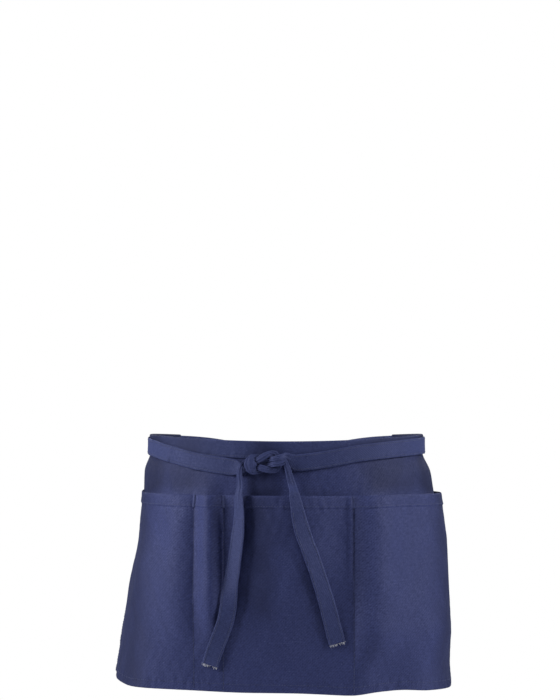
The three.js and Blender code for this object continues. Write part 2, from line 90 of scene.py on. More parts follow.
@dataclass(frozen=True)
class Profile:
    """Rows of named values along a first one that rises.

    Attributes:
        names: What each column holds.
        rows: The values.
    """

    names: tuple[str, ...]
    rows: tuple[tuple[float, ...], ...]

    def read(self, name: str, at: Array | float) -> Array:
        """Reads a column on one smooth curve through the rows.

        Args:
            name: The column.
            at: Where along the first column, one or many.

        Returns:
            The values there; the end rows hold beyond the ends.
        """
        table = np.asarray(self.rows, float)
        keys, values = table[:, 0], table[:, self.names.index(name)]
        slope = np.diff(values) / np.diff(keys)
        product = slope[:-1] * slope[1:]
        total = slope[:-1] + slope[1:]
        inner = np.where(product > 0, 2 * product / np.where(product > 0, total, 1), 0.0)
        tangent = np.concatenate([slope[:1], inner, slope[-1:]])
        where = np.clip(np.asarray(at, float), keys[0], keys[-1])
        i = np.clip(np.searchsorted(keys, where, side="right") - 1, 0, len(keys) - 2)
        span = keys[i + 1] - keys[i]
        t = (where - keys[i]) / span
        ease = t * t * (3 - 2 * t)
        bend = tangent[i] * t * (1 - t) ** 2 - tangent[i + 1] * t * t * (1 - t)
        return values[i] * (1 - ease) + values[i + 1] * ease + span * bend


@dataclass(frozen=True)
class Crumple:
    """Small seeded waves left in cloth by wear and washing.

    Attributes:
        seed: Start of the random numbers.
        waves: How many waves are added up.
        height: Typical height of the waves, in mm.
        across: Typical wave length along the width, in mm.
        along: Typical wave length down the cloth, in mm.
    """

    seed: int
    waves: int
    height: float
    across: float
    along: float

    def at(self, x: Array, y: Array) -> Array:
        """The height of the waves at points of the flat cloth, in mm."""
        random = np.random.default_rng(self.seed)
        total = np.zeros(np.broadcast(x, y).shape)
        for _ in range(self.waves):
            fx = random.uniform(0.5, 1.7) * random.choice((-1, 1)) / self.across
            fy = random.uniform(0.4, 1.6) / self.along
            total += np.sin(2 * math.pi * (fx * x + fy * y) + random.uniform(0, 2 * math.pi))
        return self.height * total * math.sqrt(2 / self.waves)


# The flat cut and the worn form


@dataclass(frozen=True)
class Cut:
    """The flat cloth and the folded tape, in mm.

    Attributes:
        width, length: The body panel's own.
        cloth: Thickness of the twill.
        pocket_drop: From the top edge down to the pockets' open edge.
        pocket_hem: Height of the doubled hem at that edge.
        hem_turn: How far the pocket panel is turned up behind the foot.
        tie_width: Width of the folded tape of the ties.
        tie_tuck: How far the waistband runs on beyond the panel at either end.
        band_height: Height of the waistband.
        gap: Between layers that are sewn together.
        lie_gap: Between the apron and a tie that lies on it.
    """

    width: float = 572.0
    length: float = 292.0
    cloth: float = 1.0
    pocket_drop: float = 63.0
    pocket_hem: float = 14.0
    hem_turn: float = 12.0
    tie_width: float = 19.5
    tie_tuck: float = 12.0
    band_height: float = 20.5
    gap: float = 0.3
    lie_gap: float = 0.9

    @property
    def band_back(self) -> float:
        """Offset of the waistband's inner face."""
        return -(self.gap + self.cloth)

    @property
    def band_front(self) -> float:
        """Offset of the waistband's outer face."""
        return 2 * self.cloth + self.gap

    @property
    def turn_middle(self) -> float:
        """Offset of the middle of a layer's turn round the body panel's edge."""
        return (self.band_front + self.band_back) / 2

    @property
    def turn_radius(self) -> float:
        """Outer radius of that turn."""
        return (self.band_front - self.band_back) / 2

    @property
    def pocket_seat(self) -> float:
        """Offset of the pocket panel's inner face where it is sewn down."""
        return self.cloth + self.gap

    @property
    def band_foot(self) -> float:
        """The waistband's lower edge as a share of the length."""
        return self.band_height / self.length

    @property
    def pocket_top(self) -> float:
        """The pockets' open edge as a share of the length."""
        return self.pocket_drop / self.length

    @property
    def pocket_thin(self) -> float:
        """The lower edge of the pockets' doubled hem as a share of the length."""
        return (self.pocket_drop + self.pocket_hem) / self.length


@dataclass(frozen=True)
class Fold:
    """A soft fold in the hanging cloth.

    Attributes:
        across: Its middle, as a share of the width from the apron's middle.
        lean: How far it has moved across at the foot, as a share of the width.
        wide: How far it reaches to either side, as a share of the width.
        deep: How far it stands out, as a share of the deepest fold; below 0 it is a hollow.
        start, full, fade, end: Where it starts, is full, starts to fade and ends, as shares of the length.
    """

    across: float
    lean: float
    wide: float
    deep: float
    start: float
    full: float
    fade: float
    end: float


@dataclass(frozen=True)
class Pocket:
    """A pocket between two seams, with the slack cloth that stands open between them.

    Attributes:
        seam: Its left seam, as a share of the width from the apron's middle.
        slack_from, slack_to: Where its cloth is slack, alike.
        opening: How far it stands open, as a share of the most that a pocket may.
        flat: How evenly it stands open: lower is boxier.
        dip: How far the middle of the bulge sinks back.
        skew: 1 for an even bulge, more for one that is fullest at the right.
        full, shut: Where it starts to close and is closed, as shares of the pocket's depth.
    """

    seam: float
    slack_from: float
    slack_to: float
    opening: float
    flat: float
    dip: float
    skew: float
    full: float
    shut: float


# The sections of the worn form: half widths and front depth as shares of the waist's, and the power
# that makes a section squarer than an ellipse, which is 2
LEVELS = Profile(
    ("down", "left", "right", "front", "square"),
    (
        (0.0, 1.0, 1.0, 1.0, 2.0),
        (0.07, 1.0, 1.0, 1.0, 2.0),
        (0.145, 1.045, 1.062, 1.02, 2.02),
        (0.215, 1.05, 1.085, 1.038, 2.06),
        (0.31, 1.062, 1.115, 1.06, 2.12),
        (0.43, 1.085, 1.14, 1.08, 2.2),
        (0.6, 1.15, 1.16, 1.1, 2.4),
        (0.8, 1.206, 1.178, 1.115, 2.7),
        (1.0, 1.258, 1.207, 1.125, 2.95),
    ),
)
# How far down the foot hangs across the width, as a share of the length
HANG = Profile(
    ("across", "long"),
    (
        (-0.5, 0.94),
        (-0.4, 0.958),
        (-0.33, 0.975),
        (-0.2, 0.981),
        (-0.09, 0.989),
        (0.02, 0.992),
        (0.128, 1.0),
        (0.19, 0.988),
        (0.24, 0.984),
        (0.3, 0.99),
        (0.43, 0.992),
        (0.5, 0.988),
    ),
)
FOLDS = (
    Fold(-0.33, 0.03, 0.05, 0.5, 0.3, 0.6, 0.95, 1.2),
    Fold(-0.205, -0.01, 0.045, 0.7, 0.12, 0.32, 0.6, 1.0),
    Fold(0.17, 0.0, 0.045, 1.0, 0.12, 0.3, 0.75, 1.05),
    Fold(0.27, 0.0, 0.06, -0.45, 0.12, 0.3, 0.7, 0.95),
    Fold(-0.155, -0.01, 0.028, 0.45, 0.1, 0.28, 0.5, 0.85),
    Fold(0.035, -0.01, 0.045, 0.35, 0.12, 0.3, 0.55, 0.9),
    Fold(0.13, 0.008, 0.035, 0.5, 0.7, 0.95, 1.2, 1.5),
    Fold(0.22, 0.0, 0.04, -0.45, 0.78, 1.0, 1.2, 1.5),
    Fold(-0.455, 0.0, 0.03, -0.4, 0.3, 0.7, 1.2, 1.5),
)
POCKETS = (
    Pocket(-0.5, -0.4, -0.187, 0.62, 0.45, 0.2, 1.7, 0.3, 0.9),
    Pocket(-0.187, -0.187, -0.127, 0.72, 0.6, 0.0, 1.5, 0.5, 0.9),
    Pocket(-0.127, -0.127, 0.134, 0.62, 0.7, 0.0, 1.0, 0.25, 0.9),
    Pocket(0.134, 0.136, 0.46, 0.95, 0.46, 0.3, 0.7, 0.66, 0.94),
)
SEAMS = tuple(pocket.seam for pocket in POCKETS[1:])


@dataclass
class WornForm:
    """The round that the cloth keeps when the apron is tied on, level by level.

    Attributes:
        cut: The flat sizes.
        half_width: Half the waist's width, in mm.
        depth: Half the waist's depth, in mm.
        side_rise: How far the waistband climbs at the sides, in mm.
        fold_depth: How far the deepest fold stands, in mm.
        pocket_open: The most that a pocket may stand open, in mm.
        span: How far to either side of the middle the form is tabulated, in mm.
        step: The table's steps along the cloth, in mm.
        levels: Its levels, as shares of the length.
    """

    cut: Cut
    half_width: float = 159.5
    depth: float = 117.0
    side_rise: float = 6.0
    fold_depth: float = 8.0
    pocket_open: float = 15.0
    span: float = 460.0
    step: float = 0.5
    levels: Array = field(default_factory=lambda: np.linspace(0.0, 1.0, 201))

    def __post_init__(self) -> None:
        """Tabulates the sections, so that any point of them is one reading."""
        self.reach = np.arange(-self.span, self.span + self.step, self.step)
        angle = np.linspace(0.0, math.pi, 1441)
        tables: dict[str, list[Array]] = {"x": [], "y": [], "angle": []}
        for level in self.levels:
            power = 2 / float(LEVELS.read("square", level))
            halves = []
            for side, name in ((-1, "left"), (1, "right")):
                wide = self.half_width * float(LEVELS.read(name, level))
                x = side * wide * np.abs(np.sin(angle)) ** power
                deep = -self.depth * float(LEVELS.read("front", level))
                y = deep * np.sign(np.cos(angle)) * np.abs(np.cos(angle)) ** power
                run = np.concatenate([[0.0], np.cumsum(np.hypot(np.diff(x), np.diff(y)))])
                halves.append((side * run, x, y, angle))
            left, right = halves
            whole = [np.concatenate([a[:0:-1], b]) for a, b in zip(left, right)]
            round_ = right[0][-1] - left[0][-1]
            where = (self.reach - left[0][-1]) % round_ + left[0][-1]
            for name, values in zip(tables, whole[1:]):
                tables[name].append(np.interp(where, whole[0], values))
            if level == 0:
                self.round = round_
        self.table = {name: np.array(rows) for name, rows in tables.items()}

    def look(self, name: str, distance: Array, level: Array) -> Array:
        """Reads a table of the form between its levels and its steps.

        Args:
            name: x, y or angle.
            distance: How far along the cloth from its middle, in mm.
            level: The depth as a share of the length.

        Returns:
            The values there.
        """
        table = self.table[name]
        row = np.clip(level / self.levels[1], 0, len(self.levels) - 1.001)
        column = np.clip((distance - self.reach[0]) / self.step, 0, len(self.reach) - 1.001)
        i, j = row.astype(int), column.astype(int)
        u, v = row - i, column - j
        upper = table[i, j] * (1 - v) + table[i, j + 1] * v
        lower = table[i + 1, j] * (1 - v) + table[i + 1, j + 1] * v
        return upper * (1 - u) + lower * u

    def fold(self, distance: Array, level: Array) -> Array:
        """How far the soft folds move the cloth outwards, in mm."""
        total = np.zeros(np.broadcast(distance, level).shape)
        for one in FOLDS:
            middle = (one.across + one.lean * level) * self.cut.width
            share = smooth(one.start, one.full, level) * (1 - smooth(one.fade, one.end, level))
            total += one.deep * self.fold_depth * share * bell(distance, middle, one.wide * self.cut.width)
        return total

    def opening(self, distance: Array, level: Array) -> Array:
        """How far the pocket panel stands off the body panel, in mm."""
        across = distance / self.cut.width
        deep = np.maximum(0, (level - self.cut.pocket_top) / (1 - self.cut.pocket_top))
        total = np.zeros(np.broadcast(distance, level).shape)
        for one in POCKETS:
            share = np.clip((across - one.slack_from) / (one.slack_to - one.slack_from), 0, 1)
            wave = np.sin(math.pi * share**one.skew)
            bulge = wave ** (2 * one.flat) - one.dip * wave**6
            total += self.pocket_open * one.opening * bulge * (1 - smooth(one.full, one.shut, deep))
        return total

    def place(self, cloth: Array, down: Array, offset: Array, drop: Array | float = 0.0) -> Array:
        """Puts points of the flat cloth where the worn apron has them.

        Args:
            cloth: How far along the cloth from its middle, in mm.
            down: The depth below the waistline, as a share of the length.
            offset: How far out from the body panel's inner face, in mm.
            drop: How far the point is then moved straight down, in mm.

        Returns:
            The points, in mm.
        """
        cloth, down, offset, drop = np.broadcast_arrays(cloth, down, offset, drop)
        level = np.maximum(0.0, down)
        distance = cloth - self.round * np.round(cloth / self.round)
        x, y = (self.look(name, distance, level) for name in ("x", "y"))
        ahead = [self.look(name, distance + self.step, level) for name in ("x", "y")]
        behind = [self.look(name, distance - self.step, level) for name in ("x", "y")]
        tangent = unit(np.stack([ahead[0] - behind[0], ahead[1] - behind[1]], -1))
        angle = self.look("angle", distance, np.zeros_like(level))
        near_top = 1 - smooth(self.cut.band_foot, self.cut.pocket_top, level)
        top = self.cut.band_height / 2 + self.side_rise * np.sin(angle) ** 2 * near_top
        hang = self.cut.length * HANG.read("long", distance / self.cut.width)
        out = offset + self.fold(distance, level)
        return np.stack(
            [x + tangent[..., 1] * out, y - tangent[..., 0] * out, top - down * hang - drop], -1
        )

    def axes(self, cloth: Array, down: Array, offset: Array, drop: Array | float = 0.0) -> dict[str, Array]:
        """The worn surface's own axes at points of the cloth.

        Args:
            cloth: How far along the cloth from its middle, in mm.
            down: The depth as a share of the length.
            offset: How far out from the body panel's inner face, in mm.
            drop: How far the point is then moved straight down, in mm.

        Returns:
            point, across, up and out, each an array of vectors.
        """
        point = self.place(cloth, down, offset, drop)
        across = unit(self.place(cloth + 1, down, offset) - self.place(cloth - 1, down, offset))
        rise = 1 / self.cut.length
        up = unit(self.place(cloth, down - rise, offset) - self.place(cloth, down + rise, offset))
        out = unit(np.cross(across, up))
        return {"point": point, "across": across, "up": unit(np.cross(out, across)), "out": out}


# Mesh building


def make_object(name: str, points: Array, faces: Sequence[Sequence[int]], cloth: Array) -> bpy.types.Object:
    """Makes a smooth mesh object that carries its cloth coordinates.

    Args:
        name: The piece's name.
        points: The corners, in mm.
        faces: The corners of each face, outward side by the right hand.
        cloth: For each corner, its place on the flat cloth in mm, and its wear: up to 1 where the
        cloth is rubbed and where light is painted on, and below 0 where shade is painted on.

    Returns:
        The object, in metres.
    """
    mesh = bpy.data.meshes.new(name)
    mesh.from_pydata((points * MM).tolist(), [], [list(map(int, face)) for face in faces])
    attribute = mesh.attributes.new("cloth", "FLOAT_VECTOR", "POINT")
    attribute.data.foreach_set("vector", np.ascontiguousarray(cloth, dtype=np.float32).ravel())
    mesh.polygons.foreach_set("use_smooth", np.ones(len(mesh.polygons), dtype=bool))
    mesh.update()
    thing = bpy.data.objects.new(name, mesh)
    bpy.context.scene.collection.objects.link(thing)
    return thing


def cloth_wall(name: str, outer: Array, inner: Array, cloth: Array) -> bpy.types.Object:
    """A closed wall of cloth between two grids of points.

    Args:
        name: The piece's name.
        outer: Points of the outer face, columns along the first axis, top to bottom along the second.
        inner: Points of the inner face, alike.
        cloth: Cloth coordinates and wear of both, alike.

    Returns:
        The object.
    """
    columns, rows = outer.shape[:2]
    count = columns * rows
    o = np.arange(count).reshape(columns, rows)
    n = o + count

    def quads(a: Array, b: Array, c: Array, d: Array) -> Array:
        """Stacks four sets of corners to faces."""
        return np.stack([a.ravel(), b.ravel(), c.ravel(), d.ravel()], -1)

    faces = [
        quads(o[:-1, :-1], o[:-1, 1:], o[1:, 1:], o[1:, :-1]),
        quads(n[:-1, :-1], n[1:, :-1], n[1:, 1:], n[:-1, 1:]),
        quads(o[:-1, 0], o[1:, 0], n[1:, 0], n[:-1, 0]),
        quads(o[:-1, -1], n[:-1, -1], n[1:, -1], o[1:, -1]),
        quads(o[0, :-1], n[0, :-1], n[0, 1:], o[0, 1:]),
        quads(o[-1, :-1], o[-1, 1:], n[-1, 1:], n[-1, :-1]),
    ]
    points = np.concatenate([outer.reshape(-1, 3), inner.reshape(-1, 3)])
    both = np.concatenate([cloth.reshape(-1, 3)] * 2)
    return make_object(name, points, np.concatenate(faces), both)


def swept(name: str, rings: Array, cloth: Array) -> bpy.types.Object:
    """A closed tube through rings of points, its ends closed.

    Args:
        name: The piece's name.
        rings: The points of each ring, stations along the first axis.
        cloth: Cloth coordinates and wear, alike.

    Returns:
        The object.
    """
    stations, sides = rings.shape[:2]
    index = np.arange(stations * sides).reshape(stations, sides)
    turned = np.roll(index, -1, axis=1)
    walls = np.stack(
        [index[:-1].ravel(), turned[:-1].ravel(), turned[1:].ravel(), index[1:].ravel()], -1
    )
    faces = [list(face) for face in walls]
    faces.append(list(index[0][::-1]))
    faces.append(list(index[-1]))
    return make_object(name, rings.reshape(-1, 3), faces, cloth.reshape(-1, 3))


def rounded(edge: Array, thick: float, least: float = 0.35) -> Array:
    """How thick cloth is near its edge, as a share, so that the edge is round.

    Args:
        edge: The distance from the edge, in mm.
        thick: The cloth's thickness, in mm.
        least: The share at the edge itself.

    Returns:
        Shares from the least one at the edge to 1.
    """
    share = np.clip(edge / (thick / 2), 0, 1)
    return np.maximum(least, np.sqrt(1 - (1 - share) ** 2))


def spaced(stops: Sequence[float], step: float, fine: float = 0.25) -> Array:
    """Even places between stops, with closer ones beside each stop.

    Args:
        stops: The places that matter, rising, in mm.
        step: The longest step between places, in mm.
        fine: The step right beside a stop, in mm.

    Returns:
        The places.
    """
    found = [stops[0]]
    for start, stop in zip(stops[:-1], stops[1:]):
        if stop - start > 6 * fine:
            steps = max(1, math.ceil((stop - start - 2 * fine) / step))
            found += list(np.linspace(start + fine, stop - fine, steps + 1))
        found.append(stop)
    return np.array(found)


# Finishes


def add_node(
    tree: bpy.types.NodeTree, kind: str, settings: dict | None = None, links: dict | None = None
) -> bpy.types.Node:
    """Adds a node with its settings and links.

    Args:
        tree: The node tree.
        kind: The node's type.
        settings: Socket values by number or name, and the node's own properties by name.
        links: Output sockets by the number or name of the input that each goes to.

    Returns:
        The node.
    """
    node = tree.nodes.new(kind)
    for key, value in (settings or {}).items():
        if isinstance(key, str) and hasattr(node, key):
            setattr(node, key, value)
        else:
            node.inputs[key].default_value = value
    for key, source in (links or {}).items():
        tree.links.new(source, node.inputs[key])
    return node


def new_material(name: str) -> tuple[bpy.types.Material, bpy.types.NodeTree]:
    """Makes an empty node material."""
    material = bpy.data.materials.new(name)
    material.use_nodes = True
    material.node_tree.nodes.clear()
    return material, material.node_tree


def shade(
    tree: bpy.types.NodeTree,
    colour: bpy.types.NodeSocket,
    roughness: bpy.types.NodeSocket,
    height: bpy.types.NodeSocket,
    settings: dict,
    bump: tuple[float, float],
) -> None:
    """Ends a material in its shader.

    Args:
        tree: The node tree.
        colour: The base colour.
        roughness: The roughness.
        height: The relief, 0 to 1.
        settings: The shader's constant sockets.
        bump: The relief's strength, and its height in mm.
    """
    relief = add_node(
        tree, "ShaderNodeBump", {"Strength": bump[0], "Distance": bump[1] * MM}, {"Height": height}
    )
    shader = add_node(
        tree,
        "ShaderNodeBsdfPrincipled",
        settings,
        {"Base Color": colour, "Roughness": roughness, "Normal": relief.outputs["Normal"]},
    )
    add_node(tree, "ShaderNodeOutputMaterial", {}, {"Surface": shader.outputs["BSDF"]})


@dataclass(frozen=True)
class CottonTwill:
    """Cotton twill, woven with a diagonal rib, dyed navy in the piece and washed soft.

    Attributes:
        name: The material's name.
        base, deep, faded: Colour of the plain face, of the ground between ribs, and of rubbed places and
            painted highlights.
        rib: Spacing of the diagonal ribs, in mm.
        slub: Length of the uneven places in a yarn, in mm.
        unfaded, fleck: Colour of the painted shade, and of fibres that took less dye.
        yarns: Warp and weft yarns to a mm, as coarse as they need to be to show.
        clouds: Washed clouds to a mm.
        flecks: Pale fibres to a mm.
        rough: Least and most roughness.
        sheen: Weight of the fuzz.
        fuzz: Colour of the fuzz.
    """

    name: str
    base: str
    deep: str
    faded_and_highlight: str
    rib: float
    slub: float
    painted_shade: str = "#141b3e"
    fleck: str = "#6a719c"
    yarns: tuple[float, float] = (0.62, 0.55)
    clouds: float = 0.022
    flecks: float = 0.55
    rough: tuple[float, float] = (0.62, 0.78)
    sheen: float = 0.06
    fuzz: str = "#aab0cc"

    def material(self) -> bpy.types.Material:
        """Builds the material from the cloth's own coordinates."""
        material, tree = new_material(self.name)
        cloth = add_node(tree, "ShaderNodeAttribute", {"attribute_name": "cloth"})
        parts = add_node(tree, "ShaderNodeSeparateXYZ", {}, {0: cloth.outputs["Vector"]})
        flat = add_node(
            tree, "ShaderNodeCombineXYZ", {}, {0: parts.outputs[0], 1: parts.outputs[1]}
        ).outputs[0]
        # A twill's ribs are half a millimetre apart, less than a pixel, so they are drawn coarser here
        ribs = add_node(
            tree,
            "ShaderNodeTexWave",
            {
                "wave_type": "BANDS",
                "bands_direction": "DIAGONAL",
                "Scale": BAND_SPACING / self.rib,
                "Distortion": 1.1,
                "Detail": 2.0,
                "Detail Scale": 1.2,
            },
            {"Vector": flat},
        )
        warp, weft = (
            add_node(tree, "ShaderNodeMapping", {"Scale": scale}, {"Vector": flat})
            for scale in ((self.yarns[0], 1 / self.slub, 1), (1 / self.slub, self.yarns[1], 1))
        )
        yarns = [
            add_node(
                tree,
                "ShaderNodeTexNoise",
                {"Scale": 1.0, "Detail": 3.0, "Roughness": 0.65},
                {"Vector": way.outputs["Vector"]},
            ).outputs["Fac"]
            for way in (warp, weft)
        ]
        heather = add_node(
            tree, "ShaderNodeMath", {"operation": "ADD"}, {0: yarns[0], 1: yarns[1]}
        ).outputs[0]
        grain = add_node(
            tree,
            "ShaderNodeMapRange",
            {"From Min": 0.78, "From Max": 1.22, "To Min": 0.0, "To Max": 1.0},
            {"Value": heather},
        ).outputs[0]
        weave = add_node(
            tree,
            "ShaderNodeMath",
            {"operation": "MULTIPLY_ADD", 1: 0.42},
            {0: ribs.outputs["Fac"], 2: grain},
        ).outputs[0]
        cloud = add_node(
            tree,
            "ShaderNodeTexNoise",
            {"Scale": self.clouds, "Detail": 4.0, "Roughness": 0.6},
            {"Vector": flat},
        ).outputs["Fac"]
        tone = add_node(
            tree,
            "ShaderNodeMapRange",
            {"From Min": 0.0, "From Max": 1.42, "To Min": 0.0, "To Max": 1.0},
            {"Value": weave},
        ).outputs[0]
        face = add_node(
            tree,
            "ShaderNodeMix",
            {"data_type": "RGBA", 6: linear(self.deep), 7: linear(self.base)},
            {0: tone},
        ).outputs[2]
        rubbed = add_node(
            tree,
            "ShaderNodeMath",
            {"operation": "MULTIPLY_ADD", 1: 0.5, 2: -0.16, "use_clamp": True},
            {0: cloud},
        ).outputs[0]
        # Rubbed places, and the painted highlights on the pockets, turn the colour towards the paler one
        worn = add_node(
            tree,
            "ShaderNodeMath",
            {"operation": "ADD", "use_clamp": True},
            {0: rubbed, 1: parts.outputs[2]},
        ).outputs[0]
        touched = add_node(
            tree, "ShaderNodeMath", {"operation": "MULTIPLY"}, {0: worn, 1: tone}
        ).outputs[0]
        colour = add_node(
            tree,
            "ShaderNodeMix",
            {"data_type": "RGBA", 7: linear(self.faded_and_highlight)},
            {0: touched, 6: face},
        ).outputs[2]
        # Short fibres that took less dye and stand on the face as pale flecks
        fleck = add_node(
            tree,
            "ShaderNodeTexNoise",
            {"Scale": self.flecks, "Detail": 2.0, "Roughness": 0.7},
            {"Vector": flat},
        ).outputs["Fac"]
        pale = add_node(
            tree,
            "ShaderNodeMapRange",
            {"From Min": 0.62, "From Max": 0.78, "To Min": 0.0, "To Max": 0.6},
            {"Value": fleck},
        ).outputs[0]
        colour = add_node(
            tree,
            "ShaderNodeMix",
            {"data_type": "RGBA", 7: linear(self.fleck)},
            {0: pale, 6: colour},
        ).outputs[2]
        # Painted shade: where the wear is below 0, the colour darkens towards a near-black navy
        painted_shade = add_node(
            tree,
            "ShaderNodeMapRange",
            {"From Min": 0.0, "From Max": -1.0, "To Min": 0.0, "To Max": 1.0},
            {"Value": parts.outputs[2]},
        ).outputs[0]
        colour = add_node(
            tree,
            "ShaderNodeMix",
            {"data_type": "RGBA", 7: linear(self.painted_shade)},
            {0: painted_shade, 6: colour},
        ).outputs[2]
        rough = add_node(
            tree,
            "ShaderNodeMapRange",
            {"To Min": self.rough[1], "To Max": self.rough[0]},
            {"Value": tone},
        ).outputs[0]
        # Washed cotton: matt, a little fuzz, no glints
        settings = {
            "Specular IOR Level": 0.28,
            "Sheen Weight": self.sheen,
            "Sheen Roughness": 0.5,
            "Sheen Tint": linear(self.fuzz),
        }
        relief = add_node(
            tree,
            "ShaderNodeMath",
            {"operation": "MULTIPLY_ADD", 1: 0.35},
            {0: grain, 2: ribs.outputs["Fac"]},
        ).outputs[0]
        shade(tree, colour, rough, relief, settings, (0.4, 0.22))
        return material


@dataclass(frozen=True)
class SpunThread:
    """Sewing thread, two spun plies twisted together.

    Attributes:
        name: The material's name.
        light, dark: Colour on the ply and between the plies.
        twist: Spacing of the plies along the thread, in mm.
        sheen: Weight of the fuzz.
    """

    name: str
    light: str
    dark: str
    twist: float = 0.9
    sheen: float = 0.1

    def material(self) -> bpy.types.Material:
        """Builds the material from the thread's own coordinates."""
        material, tree = new_material(self.name)
        cloth = add_node(tree, "ShaderNodeAttribute", {"attribute_name": "cloth"})
        plies = add_node(
            tree,
            "ShaderNodeTexWave",
            {
                "wave_type": "BANDS",
                "bands_direction": "DIAGONAL",
                "Scale": BAND_SPACING / self.twist,
                "Distortion": 0.6,
                "Detail": 1.0,
            },
            {"Vector": cloth.outputs["Vector"]},
        ).outputs["Fac"]
        fuzz = add_node(
            tree,
            "ShaderNodeTexNoise",
            {"Scale": 1.3, "Detail": 2.0},
            {"Vector": cloth.outputs["Vector"]},
        ).outputs["Fac"]
        tone = add_node(
            tree,
            "ShaderNodeMath",
            {"operation": "MULTIPLY_ADD", 1: 0.5, "use_clamp": True},
            {0: plies, 2: fuzz},
        ).outputs[0]
        colour = add_node(
            tree,
            "ShaderNodeMix",
            {"data_type": "RGBA", 6: linear(self.dark), 7: linear(self.light)},
            {0: tone},
        ).outputs[2]
        rough = add_node(
            tree, "ShaderNodeMapRange", {"To Min": 0.75, "To Max": 0.5}, {"Value": fuzz}
        ).outputs[0]
        # Spun thread: smoother than the cloth, so a row of it catches light
        settings = {"Specular IOR Level": 0.5, "Sheen Weight": self.sheen, "Sheen Roughness": 0.4}
        shade(tree, colour, rough, plies, settings, (0.5, 0.08))
        return material


@dataclass(frozen=True)
class StudioPaper:
    """Matt background paper, rolled and pale, with hardly any tooth.

    Attributes:
        name: The material's name.
        pale, shade: Colour of the sheet and of its tooth.
    """

    name: str = "matt_background_paper"
    pale: str = "#f4f4f4"
    shade: str = "#ededee"

    def material(self) -> bpy.types.Material:
        """Builds the material from the sheet's own place."""
        material, tree = new_material(self.name)
        place = add_node(tree, "ShaderNodeTexCoord")
        tooth = add_node(
            tree, "ShaderNodeTexNoise", {"Scale": 3.0, "Detail": 3.0}, {"Vector": place.outputs["Object"]}
        ).outputs["Fac"]
        colour = add_node(
            tree,
            "ShaderNodeMix",
            {"data_type": "RGBA", 6: linear(self.shade), 7: linear(self.pale)},
            {0: tooth},
        ).outputs[2]
        rough = add_node(
            tree, "ShaderNodeMapRange", {"To Min": 0.85, "To Max": 0.95}, {"Value": tooth}
        ).outputs[0]
        shade(tree, colour, rough, tooth, {"Specular IOR Level": 0.2}, (0.05, 0.1))
        return material


class Finish(Enum):
    """The finishes of the apron."""

    TWILL = CottonTwill("piece_dyed_cotton_twill", "#374075", "#29315c", "#4a5285", 2.5, 4.6)
    TAPE = CottonTwill("folded_cotton_twill_tape", "#394274", "#2b345e", "#4e5788", 2.1, 3.6)
    NAVY_THREAD = SpunThread("spun_navy_sewing_thread", "#424a73", "#283058")
    TACK_THREAD = SpunThread("spun_slate_blue_tack_thread", "#525c90", "#303a70", 0.9, 0.02)
    RAW_THREAD = SpunThread("undyed_cotton_fringe", "#dfe0e6", "#9fa3b8", 1.4, 0.2)


_dressed: dict[Finish, bpy.types.Material] = {}


def dress(thing: bpy.types.Object, finish: Finish) -> None:
    """Gives an object its finish.

    Args:
        thing: The object.
        finish: The finish, whose material is made once.
    """
    if finish not in _dressed:
        _dressed[finish] = finish.value.material()
    thing.data.materials.clear()
    thing.data.materials.append(_dressed[finish])


# Threads


# The rings of one stitch: their places as shares of its length, and their lift and girth in radii
STITCH_SHARE = np.array([0.06, 0.3, 0.7, 0.94])
STITCH_LIFT = np.array([-0.55, 0.35, 0.35, -0.55])
STITCH_GIRTH = np.array([0.6, 1.0, 1.0, 0.6])
STITCH_SIDES = 5
# What the pattern of the plies counts as the way round a thread, in mm
ROUND_THREAD = 1.8


@dataclass(frozen=True)
class ThreadRow:
    """A row of lockstitch: short threads on the cloth that dip into it at both ends.

    Attributes:
        pitch: Length of a stitch, in mm.
        radius: The thread's own, drawn coarser than the real 0.15 mm so that a row shows, in mm.
    """

    pitch: float = 3.2
    radius: float = 0.32

    def rings(self, path: Array, out: Array) -> tuple[Array, Array]:
        """Lays stitches along a path.

        Args:
            path: Points of the seam line on the cloth, in mm.
            out: The way out of the cloth at each.

        Returns:
            The rings of every stitch, and their thread coordinates.
        """
        run = run_along(path)
        count = max(1, int(run[-1] / self.pitch))
        ends = np.linspace(0, run[-1], count + 1)
        where = ends[:-1, None] + STITCH_SHARE * np.diff(ends)[:, None]
        point = np.stack([np.interp(where, run, path[:, k]) for k in range(3)], -1)
        up = unit(np.stack([np.interp(where, run, out[:, k]) for k in range(3)], -1))
        point = point + up * (STITCH_LIFT * self.radius)[:, None]
        ahead = unit(np.gradient(point, axis=1))
        side = unit(np.cross(up, ahead))
        face = np.cross(ahead, side)
        angle = np.arange(STITCH_SIDES) * 2 * math.pi / STITCH_SIDES
        radius = self.radius * STITCH_GIRTH[:, None, None]
        ring = (
            point[:, :, None]
            + side[:, :, None] * np.cos(angle)[:, None] * radius
            + face[:, :, None] * np.sin(angle)[:, None] * radius
        )
        coordinate = np.zeros_like(ring)
        coordinate[..., 0] = where[:, :, None]
        coordinate[..., 1] = angle / (2 * math.pi) * ROUND_THREAD
        return ring, coordinate


def thread_object(name: str, rows: Sequence[tuple[Array, Array]], finish: Finish) -> bpy.types.Object:
    """Joins rows of stitches to one piece.

    Args:
        name: The piece's name.
        rows: Rings and thread coordinates of each row.
        finish: The thread's finish.

    Returns:
        The object.
    """
    points, coordinates, faces = [], [], []
    start = 0
    for ring, coordinate in rows:
        stitches, stations, sides = ring.shape[:3]
        index = start + np.arange(stitches * stations * sides).reshape(stitches, stations, sides)
        turned = np.roll(index, -1, axis=2)
        walls = np.stack([index[:, :-1], turned[:, :-1], turned[:, 1:], index[:, 1:]], -1)
        faces += walls.reshape(-1, 4).tolist()
        faces += index[:, 0, ::-1].tolist() + index[:, -1].tolist()
        points.append(ring.reshape(-1, 3))
        coordinates.append(coordinate.reshape(-1, 3))
        start += stitches * stations * sides
    thing = make_object(name, np.concatenate(points), faces, np.concatenate(coordinates))
    dress(thing, finish)
    return thing


# The panels


